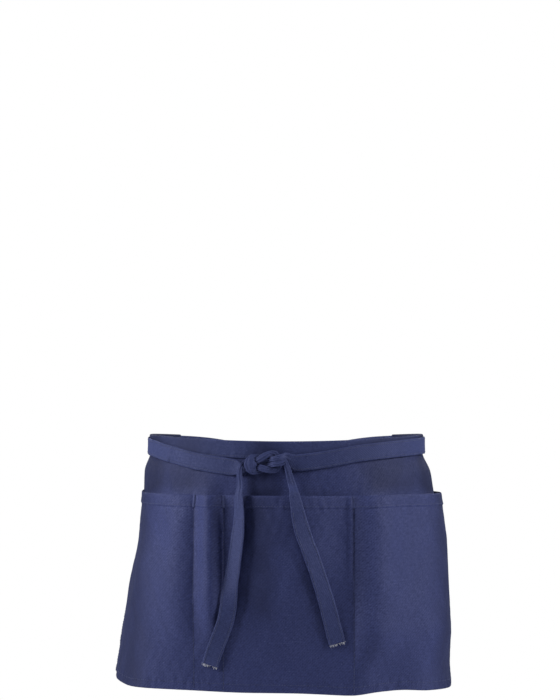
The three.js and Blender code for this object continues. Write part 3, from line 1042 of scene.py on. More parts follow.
@dataclass(frozen=True)
class Pucker:
    """Relief beside a row of stitches: its height and how far it reaches, in mm."""

    height: float
    reach: float


@dataclass(frozen=True)
class Patch:
    """A soft place on the flat cloth, down from the top until it fades out.

    Attributes:
        amount: How strong it is.
        middle: Its middle along the cloth, in mm.
        reach: How far it reaches to either side, in mm.
        fade: Where it starts to fade and where it has gone, down the cloth, in mm.
    """

    amount: float
    middle: float
    reach: float
    fade: tuple[float, float]

    def at(self, s: Array, y: Array) -> Array:
        """How strong it is at points of the flat cloth."""
        return self.amount * bell(s, self.middle, self.reach) * (1 - smooth(*self.fade, y))


@dataclass(frozen=True)
class WearAndPaintedLightMap:
    """Where the cloth is rubbed paler, and where shade and light are painted on it.

    Attributes:
        wash: How much the crests of the washed waves are rubbed.
        crowded: How much closer together those are than the relief's own, along the cloth and down it.
        edge, edge_reach: How much an edge is rubbed, and how far in from it, in mm.
        left, right: How much shade is painted on beyond each side of the lap, darker towards the side
            edges.
        left_shade_from, right_shade_from: Where that painted shade starts and is full, in mm from the
            middle.
        band_shade: How much shade is painted on the strip between the waistband and the pockets.
            band_shade_from, band_shade_to: Where that painted shade starts along the cloth and ends down
                it, in mm.
        crease_and_shadow: The painted shadow between the hanging ties, below the knot and left of the
            middle.
        mouth: Where the painted highlights below the pockets' open edge start, down the cloth, in mm.
        painted_highlights: The painted highlights below it, on the lit bulges of the left and the right
            pocket.
        least, most: The range that the wear keeps to.
    """

    wash: float = 0.1
    crowded: tuple[float, float] = (1.7, 1.3)
    edge: float = 0.26
    edge_reach: float = 1.3
    # Painted shade that darkens the cloth towards both side edges
    left: float = 0.75
    left_shade_from: tuple[float, float] = (150, 190)
    right: float = 0.7
    right_shade_from: tuple[float, float] = (166, 206)
    # Painted shade on the strip below the waistband, away from the middle
    band_shade: float = 0.5
    band_shade_from: tuple[float, float] = (70, 115)
    band_shade_to: tuple[float, float] = (50, 64)
    # Painted shadow between the hanging ties, below the knot
    crease_and_shadow: Patch = Patch(0.5, -28, 17, (185, 240))
    mouth: tuple[float, float] = (62, 66)
    # Painted highlights on the lit bulges of the left and the right pocket
    painted_highlights: tuple[Patch, ...] = (Patch(0.5, -118, 14, (90, 160)), Patch(0.5, 92, 17, (190, 250)))
    least: float = -0.85
    most: float = 0.8

    def painted_shade(self, s: Array, y: Array) -> Array:
        """How much shade is painted on at points of the cloth."""
        # Painted shade: darker towards both side edges
        sides = self.left * smooth(*self.left_shade_from, -s) + self.right * smooth(*self.right_shade_from, s)
        # Painted shade on the strip below the waistband, away from the middle
        band_shade = self.band_shade * smooth(*self.band_shade_from, np.abs(s)) * (1 - smooth(*self.band_shade_to, y))
        # The painted shadow between the hanging ties is added to the painted shade
        return sides + band_shade + self.crease_and_shadow.at(s, y)

    def rubbed(self, s: Array, y: Array) -> Array:
        """How much light is painted on the pockets' bulges below their open edge."""
        return smooth(*self.mouth, y) * sum(rub.at(s, y) for rub in self.painted_highlights)


@dataclass
class PanelCloth:
    """What the two panels share: the worn form, and the small relief that sewing and wear leave.

    Attributes:
        cut: The flat sizes.
        form: The worn form.
        hem_row: How far the pocket hem's stitches are below its edge, in mm.
        foot_row: How far the foot's stitches are above it, in mm.
        side_rows: How far the stitches of the side hems are from the edge, in mm.
        free: Where the cloth below the waistband starts to wave and waves fully, in mm down it.
        groove: The groove that any row of stitches pulls.
        foot_pucker, side_pucker, hem_pucker, seam_pucker: The puckers beside each kind of row.
        side_share, seam_share: How much of its relief a side hem and a seam show.
        ridge, ridge_away, ridge_reach: The ridge beside the right pocket's seam: its height, how far
            from the seam its middle is, and how far it reaches, in mm.
        ridge_start, ridge_fade: Where it rises and fades, down from the pockets' open edge, in mm.
        wash, crease: Waves that washing and wear leave.
        pull, pull_down: Waves that the stitches pull along rows across the cloth and down it.
        worn: Where the cloth is rubbed, and where shade and light are painted on it.
    """

    cut: Cut
    form: WornForm
    hem_row: float = 12.4
    foot_row: float = 9.6
    side_rows: tuple[float, ...] = (2.0, 9.0)
    free: tuple[float, float] = (20, 45)
    groove: Pucker = Pucker(0.3, 0.9)
    foot_pucker: Pucker = Pucker(0.22, 8)
    side_pucker: Pucker = Pucker(0.12, 6)
    hem_pucker: Pucker = Pucker(0.2, 7)
    seam_pucker: Pucker = Pucker(0.36, 7)
    side_share: float = 0.6
    seam_share: float = 0.5
    ridge: float = 1.9
    ridge_away: float = -4.0
    ridge_reach: float = 2.1
    ridge_start: tuple[float, float] = (-2, 4)
    ridge_fade: tuple[float, float] = (75, 120)
    worn: WearAndPaintedLightMap = WearAndPaintedLightMap()
    wash: Crumple = Crumple(11, 26, 0.24, 60.0, 90.0)
    crease_and_shadow: Crumple = Crumple(5, 22, 0.1, 17.0, 30.0)
    pull: Crumple = Crumple(21, 18, 1.0, 9.0, 40.0)
    pull_down: Crumple = Crumple(33, 18, 1.0, 40.0, 8.5)

    def row_relief(self, away: Array, pulls: Array, pucker: Pucker) -> Array:
        """The groove and the puckers of a row of stitches.

        Args:
            away: The distance from the row, in mm.
            pulls: Waves along the row.
            pucker: Its puckers.

        Returns:
            The relief, in mm.
        """
        groove = self.groove.height * bell(away, 0, self.groove.reach)
        return pulls * pucker.height * bell(away, 0, pucker.reach) - groove

    def shared(self, s: Array, y: Array) -> Array:
        """Relief of all layers together, in mm."""
        free = smooth(*self.free, y)
        total = free * (self.wash.at(s, y) + self.crease_and_shadow.at(s, y))
        foot = y - (self.cut.length - self.foot_row)
        total += self.row_relief(foot, self.pull.at(s, y), self.foot_pucker)
        for row in self.side_rows:
            for side in (-1, 1):
                away = side * s - (self.cut.width / 2 - row)
                relief = self.row_relief(away, self.pull_down.at(s, y), self.side_pucker)
                total += free * relief * self.side_share
        return total

    def front(self, s: Array, y: Array) -> Array:
        """Relief of the pocket panel alone, in mm outward."""
        deep = y - self.cut.pocket_drop
        total = self.row_relief(deep - self.hem_row, self.pull.at(s, y), self.hem_pucker)
        for seam in SEAMS:
            away = s - seam * self.cut.width
            relief = self.row_relief(away, self.pull_down.at(s, y), self.seam_pucker)
            total += self.seam_share * relief
        height = self.ridge * smooth(*self.ridge_start, deep) * (1 - smooth(*self.ridge_fade, deep))
        return total + height * bell(s - SEAMS[-1] * self.cut.width, self.ridge_away, self.ridge_reach)

    def wear(self, s: Array, y: Array, edges: Sequence[Array]) -> Array:
        """How rubbed the cloth is and how much light is painted on it, up to 1; painted shade, below 0.

        Args:
            s: Distance along the cloth, in mm.
            y: Distance down it, in mm.
            edges: Distances from the folded and hemmed edges, in mm.

        Returns:
            The wear, with the painted light and shade.
        """
        worn = self.worn
        waves = self.wash.at(s * worn.crowded[0], y * worn.crowded[1])
        total = worn.wash * np.clip(waves / self.wash.height, 0, 1)
        for edge in edges:
            total = total + worn.edge * np.exp(-np.abs(edge) / worn.edge_reach)
        # Painted highlights on the pockets are added, and painted shade is taken off
        total = total + worn.rubbed(s, y) - worn.painted_shade(s, y)
        return np.clip(total, worn.least, worn.most)


@dataclass
class BodyPanel:
    """One width of twill with turned side edges, the back wall of the pockets.

    Attributes:
        cloth: What it shares with the pocket panel.
        step: The longest step between its mesh's corners, in mm.
        hem_lift: How far the turned side hems lift its face, in mm.
        hem_width: Their width, in mm.
        hem_edge: How softly they end to either side of that, in mm.
    """

    cloth: PanelCloth
    step: float = 2.4
    hem_lift: float = 0.22
    hem_width: float = 10.0
    hem_edge: float = 0.6

    def build(self) -> list[bpy.types.Object]:
        """Builds the panel and its side stitches."""
        cut, form = self.cloth.cut, self.cloth.form
        half = cut.width / 2
        s = spaced([-half] + [seam * cut.width for seam in SEAMS] + [half], self.step)
        top, foot = cut.cloth + cut.gap, cut.length - cut.cloth - cut.gap
        y = spaced([top, cut.band_height, cut.pocket_drop, foot], self.step)
        s, y = np.meshgrid(s, y, indexing="ij")
        edge = np.minimum(half - np.abs(s), np.minimum(y - top, foot - y))
        thick = cut.cloth * rounded(edge, cut.cloth)
        middle = cut.cloth / 2 + self.cloth.shared(s, y)
        hem_ends = (self.hem_width + self.hem_edge, self.hem_width - self.hem_edge)
        hem = self.hem_lift * smooth(*hem_ends, half - np.abs(s))
        outer = form.place(s, y / cut.length, middle + thick / 2 + hem * (y < cut.pocket_drop))
        inner = form.place(s, y / cut.length, middle - thick / 2)
        wear = self.cloth.wear(s, y, [half - np.abs(s)])
        panel = cloth_wall("body_panel_cloth", outer, inner, np.stack([s, y, wear], -1))
        dress(panel, Finish.TWILL)
        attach(panel, "root")
        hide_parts("body_panel")
        return [panel, self.stitches()]

    def stitches(self) -> bpy.types.Object:
        """Sews the side hems above the pockets, and the seams as they show on the inner face."""
        cut, form = self.cloth.cut, self.cloth.form
        rows = []
        y = np.linspace(cut.band_height + 1, cut.pocket_drop - 1, 30)
        for side in (-1, 1):
            for row in self.cloth.side_rows:
                s = np.full_like(y, side * (cut.width / 2 - row))
                out = form.axes(s, y / cut.length, cut.cloth)["out"]
                face = cut.cloth + self.hem_lift + self.cloth.shared(s, y)
                path = form.place(s, y / cut.length, face)
                rows.append(ThreadRow().rings(path, out))
        y = np.linspace(cut.pocket_drop, cut.length - cut.hem_turn - 2, 120)
        for place in [seam * cut.width for seam in SEAMS]:
            s = np.full_like(y, place)
            out = -form.axes(s, y / cut.length, 0)["out"]
            path = form.place(s, y / cut.length, self.cloth.shared(s, y))
            rows.append(ThreadRow().rings(path, out))
        thing = thread_object("body_stitching", rows, Finish.NAVY_THREAD)
        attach(thing, "root")
        return thing


@dataclass
class PocketPanel:
    """The pocket panel: doubled hem on top, sewn down at the seams, turned up behind the foot.

    Attributes:
        cloth: What it shares with the body panel.
        step: The longest step between its mesh's corners, in mm.
        hem_edge: Where the hem's lower edge starts to thin and has thinned, in mm below it.
        tack_height, tack_width: The bar tacks' own, in mm.
        tack_step, tack_radius, tack_lift: Their threads' spacing, radius and height, in mm.
        weave_shift: How far its weave is moved from the body panel's, so that they differ, in mm.
    """

    cloth: PanelCloth
    step: float = 2.3
    hem_edge: tuple[float, float] = (-0.2, 0.7)
    tack_height: float = 15.0
    tack_width: float = 3.4
    tack_step: float = 0.75
    tack_radius: float = 0.42
    tack_lift: float = 0.35
    weave_shift: float = 400.0

    def seat(self, s: Array, y: Array) -> Array:
        """Offset of the panel's inner face, in mm."""
        cut = self.cloth.cut
        off = self.cloth.form.opening(s, y / cut.length)
        own = self.cloth.front(s, y)
        bounded = np.maximum(own, -cut.gap * 0.8 - off)
        return cut.pocket_seat + off + self.cloth.shared(s, y) + bounded

    def layers(self, y: Array) -> Array:
        """How many layers of cloth the panel has: 2 in its hem, 1 below."""
        cut = self.cloth.cut
        return 2 - smooth(*self.hem_edge, y - cut.pocket_drop - cut.pocket_hem)

    def build(self) -> list[bpy.types.Object]:
        """Builds the panel, its rows of stitches and its bar tacks."""
        cut, form = self.cloth.cut, self.cloth.form
        half = cut.width / 2
        stops = [-half] + [seam * cut.width for seam in SEAMS] + [half]
        s = spaced(stops, self.step)
        middle, outer_radius = cut.turn_middle, cut.turn_radius
        inner_radius = outer_radius - cut.cloth
        foot = cut.length - outer_radius
        thin = cut.pocket_drop + cut.pocket_hem
        y = spaced([cut.pocket_drop, thin, thin + 0.8, foot], self.step)
        front_s, front_y = np.meshgrid(s, y, indexing="ij")
        layers = self.layers(front_y)
        seat = self.seat(front_s, front_y)
        edge = np.minimum(half - np.abs(front_s), front_y - cut.pocket_drop)
        thick = cut.cloth * layers * rounded(edge, cut.cloth * 1.6)
        centre = seat + cut.cloth * layers / 2
        outer = [form.place(front_s, front_y / cut.length, centre + thick / 2)]
        inner = [form.place(front_s, front_y / cut.length, centre - thick / 2)]
        path = [front_y]
        turn = np.linspace(0, math.pi, 9)[1:]
        turn_s, turn_a = np.meshgrid(s, turn, indexing="ij")
        # The turn follows the relief of the cloth just above it
        drop = self.cloth.shared(turn_s, np.full_like(turn_s, cut.length - 4))
        for radius, faces in ((outer_radius, outer), (inner_radius, inner)):
            down = (foot + radius * np.sin(turn_a)) / cut.length
            faces.append(form.place(turn_s, down, middle + radius * np.cos(turn_a) + drop))
        path.append(foot + outer_radius * turn_a)
        y = np.linspace(foot, cut.length - cut.hem_turn, 6)[1:]
        back_s, back_y = np.meshgrid(s, y, indexing="ij")
        shared = self.cloth.shared(back_s, back_y)
        outer.append(form.place(back_s, back_y / cut.length, cut.band_back + shared))
        inner.append(form.place(back_s, back_y / cut.length, -cut.gap + shared))
        path.append(foot + outer_radius * math.pi + foot - back_y)
        along = np.concatenate(path, 1)
        across = np.broadcast_to(s[:, None], along.shape)
        edges = [half - np.abs(across), along - cut.pocket_drop, along - (foot + outer_radius * 1.2)]
        wear = self.cloth.wear(across, along, edges)
        panel = cloth_wall(
            "pocket_panel_cloth",
            np.concatenate(outer, 1),
            np.concatenate(inner, 1),
            np.stack([across, along + self.weave_shift, wear], -1),
        )
        dress(panel, Finish.TWILL)
        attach(panel, "root")
        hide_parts("pocket_panel")
        return [panel, self.stitches(), self.bar_tacks()]

    def face(self, s: Array, y: Array, beside: float = 0.6) -> tuple[Array, Array]:
        """Finds places on the panel's outer face.

        Args:
            s: Distance along the cloth, in mm.
            y: Distance down it, in mm.
            beside: How far to either side the face is looked at for its slope, in mm.

        Returns:
            The points, and the way out of the face at each.
        """
        cut, form = self.cloth.cut, self.cloth.form
        layers = self.layers(y)

        def point(ds: float, dy: float) -> Array:
            """The face beside the points."""
            a, b = s + ds, y + dy
            return form.place(a, b / cut.length, self.seat(a, b) + cut.cloth * layers)

        across = point(beside, 0) - point(-beside, 0)
        up = point(0, -beside) - point(0, beside)
        return point(0, 0), unit(np.cross(across, up))

    def stitches(self) -> bpy.types.Object:
        """Sews the hem, the three seams, the sides and the foot."""
        cut = self.cloth.cut
        half = cut.width / 2
        rows = []
        s = np.linspace(-half + 1, half - 1, 500)
        for y in (cut.pocket_drop + self.cloth.hem_row, cut.length - self.cloth.foot_row):
            rows.append(ThreadRow().rings(*self.face(s, np.full_like(s, y))))
        y = np.linspace(cut.pocket_drop + 1, cut.length - 3, 220)
        places = [seam * cut.width for seam in SEAMS]
        places += [side * (half - row) for side in (-1, 1) for row in self.cloth.side_rows]
        for place in places:
            rows.append(ThreadRow().rings(*self.face(np.full_like(y, place), y)))
        thing = thread_object("pocket_stitching", rows, Finish.NAVY_THREAD)
        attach(thing, "root")
        return thing

    def bar_tacks(self) -> bpy.types.Object:
        """Packs close threads across the head of each seam."""
        cut = self.cloth.cut
        rows = []
        for seam in SEAMS:
            for drop in np.arange(0.8, self.tack_height, self.tack_step):
                s = seam * cut.width + np.linspace(-self.tack_width / 2, self.tack_width / 2, 8)
                point, out = self.face(s, np.full_like(s, cut.pocket_drop + drop))
                row = ThreadRow(self.tack_width, self.tack_radius)
                rows.append(row.rings(point + self.tack_lift * out, out))
        thing = thread_object("pocket_bar_tacks", rows, Finish.TACK_THREAD)
        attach(thing, "root")
        return thing


# The waistband


@dataclass
class Waistband:
    """Folded tape over the body's top edge and over the sewn ends of the ties.

    Attributes:
        cloth: The panels that it holds.
        step, step_down: The longest steps between its mesh's corners, along it and down it, in mm.
        row: How far its row of stitches is above its lower edge, in mm.
        groove: The groove that the row pulls.
        drag_reach: How far from the row its drags reach, in mm.
        weave_shift: How far its weave is moved from the panels', so that they differ, in mm.
        drag: The slanting waves that sewing drags into it.
    """

    cloth: PanelCloth
    step: float = 2.2
    step_down: float = 1.4
    row: float = 2.6
    groove: Pucker = Pucker(0.28, 0.9)
    drag_reach: float = 8.0
    weave_shift: float = 900.0
    drag: Crumple = Crumple(3, 20, 0.16, 13.0, 50.0)

    def relief(self, s: Array, y: Array) -> Array:
        """Relief of the band's outer face, in mm."""
        row = self.cloth.cut.band_height - self.row
        groove = self.groove.height * bell(y, row, self.groove.reach)
        return self.drag.at(s + 0.5 * y, y) * bell(y, row, self.drag_reach) - groove

    def build(self) -> list[bpy.types.Object]:
        """Builds the band and its row of stitches."""
        cut, form = self.cloth.cut, self.cloth.form
        half = cut.width / 2 + cut.tie_tuck
        s = spaced([-half, half], self.step)
        middle, outer_radius = cut.turn_middle, cut.turn_radius
        inner_radius = outer_radius - cut.cloth
        y = spaced([outer_radius, cut.band_height], self.step_down)
        outer, inner, path = [], [], []
        for way, side in ((y[::-1], -1), (y, 1)):
            grid_s, grid_y = np.meshgrid(s, way, indexing="ij")
            edge = np.minimum(half - np.abs(grid_s), cut.band_height - grid_y)
            thick = cut.cloth * rounded(edge, cut.cloth)
            centre = middle + side * (outer_radius - cut.cloth / 2)
            relief = self.relief(grid_s, grid_y) * (side > 0)
            outer.append(form.place(grid_s, grid_y / cut.length, centre + side * thick / 2 + relief))
            inner.append(form.place(grid_s, grid_y / cut.length, centre - side * thick / 2 + relief * 0.5))
            path.append(side * grid_y)
        turn = np.linspace(math.pi, 0, 11)[1:-1]
        turn_s, turn_a = np.meshgrid(s, turn, indexing="ij")
        for radius, faces in ((outer_radius, outer), (inner_radius, inner)):
            down = (outer_radius - radius * np.sin(turn_a)) / cut.length
            faces.insert(1, form.place(turn_s, down, middle + radius * np.cos(turn_a)))
        path.insert(1, outer_radius * np.cos(turn_a))
        along = np.concatenate(path, 1)
        across = np.broadcast_to(s[:, None], along.shape)
        edges = [half - np.abs(across), along, along - cut.band_height]
        wear = self.cloth.wear(across, along, edges)
        # Each column runs from the back's lower edge over the top to the front's lower edge
        band = cloth_wall(
            "waistband_tape",
            np.concatenate(outer, 1),
            np.concatenate(inner, 1),
            np.stack([across, along + self.weave_shift, wear], -1),
        )
        dress(band, Finish.TAPE)
        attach(band, "root")
        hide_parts("waistband")
        return [band, self.stitches()]

    def stitches(self) -> bpy.types.Object:
        """Sews the band down along its lower edge."""
        cut, form = self.cloth.cut, self.cloth.form
        half = cut.width / 2 + cut.tie_tuck - 2
        s = np.linspace(-half, half, 500)
        y = np.full_like(s, cut.band_height - self.row)
        rows = []
        for offset, side in ((cut.band_front, 1), (cut.band_back, -1)):
            out = side * form.axes(s, y / cut.length, offset)["out"]
            lift = self.relief(s, y) * (side > 0)
            rows.append(ThreadRow().rings(form.place(s, y / cut.length, offset + lift), out))
        thing = thread_object("waistband_stitching", rows, Finish.NAVY_THREAD)
        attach(thing, "root")
        return thing


# The ties


# How deep each tie lies from the end of the waistband to the knot, as a share of the length
TIE_FROM_LEFT = Profile(
    ("along", "down"),
    ((0.0, 0.036), (0.25, 0.045), (0.5, 0.046), (0.72, 0.053), (0.88, 0.074), (1.0, 0.088)),
)
TIE_FROM_RIGHT = Profile(
    ("along", "down"),
    ((0.0, 0.036), (0.2, 0.044), (0.45, 0.052), (0.65, 0.071), (0.82, 0.092), (1.0, 0.107)),
)
# How the free ends hang: across counts in widths of the apron from the knot, wide and thick in those
# of the flat tape, lift in strands of the knot, and tilt in degrees
TAIL_NAMES = ("down", "across", "wide", "thick", "lift", "tilt")
LEFT_TAIL = Profile(
    TAIL_NAMES,
    (
        (0.0, -0.046, 0.33, 3.4, 1.5, 0.0),
        (0.05, -0.047, 0.36, 3.0, 1.1, 5.0),
        (0.14, -0.043, 0.48, 2.2, 0.75, 12.0),
        (0.24, -0.043, 0.74, 1.5, 0.5, 18.0),
        (0.36, -0.047, 0.95, 1.1, 0.3, 20.0),
        (0.55, -0.06, 1.0, 1.0, 0.15, 17.0),
        (0.75, -0.08, 1.0, 1.0, 0.08, 11.0),
        (1.0, -0.108, 1.0, 1.0, 0.08, 3.0),
    ),
)
RIGHT_TAIL = Profile(
    TAIL_NAMES,
    (
        (0.0, 0.045, 0.33, 3.4, 1.0, 0.0),
        (0.05, 0.049, 0.38, 3.0, 0.8, -4.0),
        (0.14, 0.056, 0.52, 2.2, 0.6, -9.0),
        (0.24, 0.064, 0.75, 1.5, 0.4, -13.0),
        (0.38, 0.074, 0.98, 1.1, 0.22, -13.0),
        (0.55, 0.094, 1.0, 1.0, 0.12, -9.0),
        (0.78, 0.123, 1.0, 1.0, 0.08, -4.0),
        (1.0, 0.147, 1.0, 1.0, 0.08, -1.0),
    ),
)
# Half of a strand's way through the knot, in strands: across, up, out, wide and thick. The other half
# is the same with up and down swapped. The strand that comes from the right has a half of its own.
KNOT_HALF = (
    (-3.6, 0.6, -0.42, 1.1, 0.58),
    (-2.3, 0.55, -0.4, 1.0, 0.58),
    (-1.6, 0.57, 0.0, 0.98, 0.55),
    (-0.8, 0.8, 0.31, 1.3, 0.5),
    (0.0, 1.15, 0.33, 1.5, 0.48),
    (0.8, 1.55, 0.31, 1.3, 0.5),
    (1.6, 1.82, 0.0, 1.04, 0.53),
    (2.4, 1.65, -0.33, 1.4, 0.5),
    (2.85, 1.0, -0.42, 1.75, 0.45),
)
KNOT_APEX = (3.0, 0.0, -0.44, 1.8, 0.45)
FRONT_HALF = (
    (-3.6, 0.6, -0.42, 1.2, 0.58),
    (-2.3, 0.55, -0.4, 1.1, 0.58),
    (-1.6, 0.57, 0.0, 1.05, 0.55),
    (-0.8, 0.75, 0.31, 1.35, 0.5),
    (0.0, 1.0, 0.33, 1.5, 0.48),
    (0.8, 1.25, 0.31, 1.4, 0.5),
    (1.6, 1.4, -0.1, 1.4, 0.53),
    (2.2, 1.2, -0.42, 1.9, 0.52),
    (2.5, 0.7, -0.55, 2.5, 0.5),
)
FRONT_APEX = (2.6, 0.0, -0.6, 2.8, 0.5)
# Where either strand comes into the knot and leaves it
KNOT_COMES = (-4.8, 0.5, -0.55, 2.3, 0.34)
KNOT_LEAVES = (-4.6, 0.2, 0.3, 1.0, 0.5)
# Places across a tape at which it is laid on the apron, in half widths
TAPE_PLACES = np.array([-1, -0.5, 0, 0.5, 1])
# Points of a tape's section on either face
FACE_POINTS = 17
# The stations at which a tape gathers on its way into the knot, as shares of that way
GATHER_PLACES = np.array([0.12, 0.25, 0.4, 0.52, 0.64, 0.75, 0.85, 0.93])


class Side(Enum):
    """The side of the apron that a tie is sewn to."""

    LEFT = -1
    RIGHT = 1


def rounded_curve(spine: Array, at: Array) -> Array:
    """Points on a smooth curve through a spine, spaced by the square root of its steps.

    Args:
        spine: The points that the curve goes through.
        at: Where along it, as point numbers with fractions.

    Returns:
        The points.
    """
    padded = np.concatenate([[2 * spine[0] - spine[1]], spine, [2 * spine[-1] - spine[-2]]])
    i = np.clip(at.astype(int), 0, len(spine) - 2)
    t = (at - i)[:, None]
    p0, p1, p2, p3 = (padded[i + k] for k in range(4))
    d0, d1, d2 = (
        np.maximum(1e-6, np.linalg.norm(b - a, axis=1, keepdims=True) ** 0.5)
        for a, b in ((p0, p1), (p1, p2), (p2, p3))
    )
    m1 = ((p1 - p0) / d0 - (p2 - p0) / (d0 + d1) + (p2 - p1) / d1) * d1
    m2 = ((p2 - p1) / d1 - (p3 - p1) / (d1 + d2) + (p3 - p2) / d2) * d1
    return (
        p1 * (2 * t**3 - 3 * t**2 + 1)
        + p2 * (3 * t**2 - 2 * t**3)
        + m1 * (t**3 - 2 * t**2 + t)
        + m2 * (t**3 - t**2)
    )


@dataclass(frozen=True)
class TapeSection:
    """How a tape's section swells, flat or gathered.

    Attributes:
        edge, slope: Its thickness at the very edge where it lies flat, as a share, and how fast that
            grows from there over half the width.
        groove: The groove of its row of stitches, as a share of the thickness and a reach in mm.
        plump: A gathered strand's thickness without its folds, as a share.
        folds, creases: Height of its broad and its fine folds, as shares, and how close they are.
        wander, wander_length: How far the folds wander across, in radians, and over what length in mm.
        wander_start: Where they start, in radians.
    """

    edge: float = 0.45
    slope: float = 6.0
    groove: Pucker = Pucker(0.16, 0.8)
    plump: float = 0.8
    folds: tuple[float, float] = (0.2, 7.5)
    creases: tuple[float, float] = (0.1, 13.0)
    wander: float = 0.9
    wander_length: float = 17.0
    wander_start: float = 0.5


@dataclass(frozen=True)
class Fray:
    """Loose warp threads at a raw end.

    Attributes:
        threads: How many stand out of it.
        reach, uneven: How far from the middle they stand, and how unevenly, as shares of the width.
        lengths: The shortest and the longest, in mm.
        bend: How far they bend aside, as a share of their length.
        root: How far inside the tape they start, in mm.
        radius: A thread's own, in mm.
    """

    threads: int = 22
    reach: float = 0.47
    uneven: float = 0.03
    lengths: tuple[float, float] = (0.8, 4.6)
    bend: float = 0.35
    root: float = 0.8
    radius: float = 0.2


@dataclass
class Tie:
    """One folded tape: sewn end, round the back, over the far end of the waistband, knot, free end.

    Attributes:
        cloth: The panels that it lies on.
        side: The end of the waistband that it is sewn to.
        front: How it comes down over the front to the knot.
        tail: How its free end hangs.
        tail_length: How long that is, in mm.
        strand: The measure of a gathered strand that the knot counts in, in mm.
        knot_across, knot_down: The knot's middle on the flat cloth, in mm.
        knot_tilt: How far the knot is turned, in degrees.
        knot_reach: How far from its middle the tape starts to gather, in strands.
        tail_start: Where the free end starts to lie on the apron, as a share of its length.
        tail_gather: Where it starts to spread below the knot and has spread, alike.
        cross_swing: How far the ties swing apart behind the waist, where they cross, in mm.
        back_sag: How far they sag there, in mm.
        row: How far the stitches are from the tape's edge, in mm.
        swell: How its section swells.
        frayed: The threads at its raw end.
        edge_wear, edge_reach: How much its edges are rubbed, and how far in from them, in mm.
        fold_wear: How much its folds are rubbed where it is gathered.
        weave_shift: How far the two ties' weaves are moved apart from the middle, in mm.
        curl: The waves of the tape's edges.
    """

    cloth: PanelCloth
    side: Side
    front: Profile
    tail: Profile
    tail_length: float
    strand: float = 5.6
    knot_across: float = -26.0
    knot_down: float = 25.5
    knot_tilt: float = 9.0
    knot_reach: float = 6.3
    tail_start: float = 0.05
    tail_gather: tuple[float, float] = (0.08, 0.4)
    cross_swing: float = 10.8
    back_sag: float = 22.0
    row: float = 2.2
    swell: TapeSection = TapeSection()
    frayed: Fray = Fray()
    edge_wear: float = 0.22
    edge_reach: float = 1.1
    fold_wear: float = 0.12
    weave_shift: float = 40.0
    curl: Crumple = Crumple(8, 14, 0.22, 30.0, 60.0)

    def outermost(self, s: Array, down: Array) -> Array:
        """The outer layer of the apron at a place, as an offset in mm."""
        cut = self.cloth.cut
        layers = np.where(down < cut.pocket_thin, 2, 1)
        pocket = cut.pocket_seat + layers * cut.cloth + self.cloth.form.opening(s, down)
        below = np.where(down < cut.pocket_top, cut.cloth, pocket)
        return np.where(down < cut.band_foot, cut.band_front, below)

    def rest(self, s: Array, down: Array, ahead: Array, thick: Array) -> tuple[Array, Array]:
        """Lays the tape on the apron.

        Args:
            s: For each station, places from one edge of the tape to the other, along the cloth.
            down: The same places' depths.
            ahead: The way that the tape runs at each station.
            thick: Its thickness there.

        Returns:
            The middle of the tape and the way out of its face at each station.
        """
        cut, form = self.cloth.cut, self.cloth.form
        reach = cut.tie_width / 2 / cut.length
        offset = np.max([self.outermost(s, down + more) for more in (-reach, 0, reach)], axis=0)
        points = form.place(s, down, offset)
        side = unit(points[:, -1] - points[:, 0])
        out = unit(np.cross(side, ahead))
        centre = (points[:, 0] + points[:, -1]) / 2
        inward = np.sum(out[:, :2] * centre[:, :2], axis=1) < 0
        out = np.where(inward[:, None], -out, out)
        height = np.max(np.sum((points - centre[:, None]) * out[:, None], axis=2), axis=1)
        return centre + out * (height + cut.lie_gap + thick / 2)[:, None], out

    def knot_axes(self) -> dict[str, Array]:
        """Where the knot sits, and its own axes."""
        cut = self.cloth.cut
        offset = np.array(cut.band_front + cut.lie_gap + self.strand * 0.8)
        axes = self.cloth.form.axes(
            np.array(self.knot_across), np.array(self.knot_down / cut.length), offset
        )
        tilt = math.radians(self.knot_tilt)
        across, up = axes["across"], axes["up"]
        axes["across"] = across * math.cos(tilt) + up * math.sin(tilt)
        axes["up"] = up * math.cos(tilt) - across * math.sin(tilt)
        return axes

    def knot_stations(self, side: int, steps: int = 9) -> tuple[Array, Array, Array, Array]:
        """The stations of one strand through the knot.

        Args:
            side: -1 for the strand that comes from the left, 1 from the right.
            steps: Stations between two rows of the table.

        Returns:
            Points, ways out of the face, widths and thicknesses.
        """
        knot = self.knot_axes()
        table = (*KNOT_HALF, KNOT_APEX) if side < 0 else (*FRONT_HALF, FRONT_APEX)
        woven = [(a, b, -side * c, d, e) for a, b, c, d, e in table]
        back = [*woven[-2::-1], KNOT_LEAVES]
        rows = np.array([KNOT_COMES, *woven, *[(a, -b, c, d, e) for a, b, c, d, e in back]])
        spine = (
            knot["point"]
            + knot["across"] * (-side * rows[:, :1] * self.strand)
            + knot["up"] * (side * rows[:, 1:2] * self.strand)
            + knot["out"] * (rows[:, 2:3] * self.strand)
        )
        at = np.linspace(0, len(rows) - 1, (len(rows) - 1) * steps + 1)
        number = np.arange(len(rows))
        wide = self.strand * np.interp(at, number, rows[:, 3])
        thick = self.strand * np.interp(at, number, rows[:, 4])
        return rounded_curve(spine, at), np.broadcast_to(knot["out"], (len(at), 3)), wide, thick

    def stations(self) -> dict[str, Array]:
        """The whole tape's stations from its sewn end to its free end.

        Returns:
            point, out, wide, thick and gather, by name.
        """
        cut, form = self.cloth.cut, self.cloth.form
        side = self.side.value
        start = cut.width / 2 + cut.cloth
        cross_from = cut.width / 2 + cut.tie_tuck
        cross_to = form.round - cross_from
        stop = form.round + side * self.knot_across - self.strand * self.knot_reach
        # Behind the waist each tie lies on the form first, and outside the other one from here on
        swap = 0.25 if side < 0 else 0.75
        parts = []

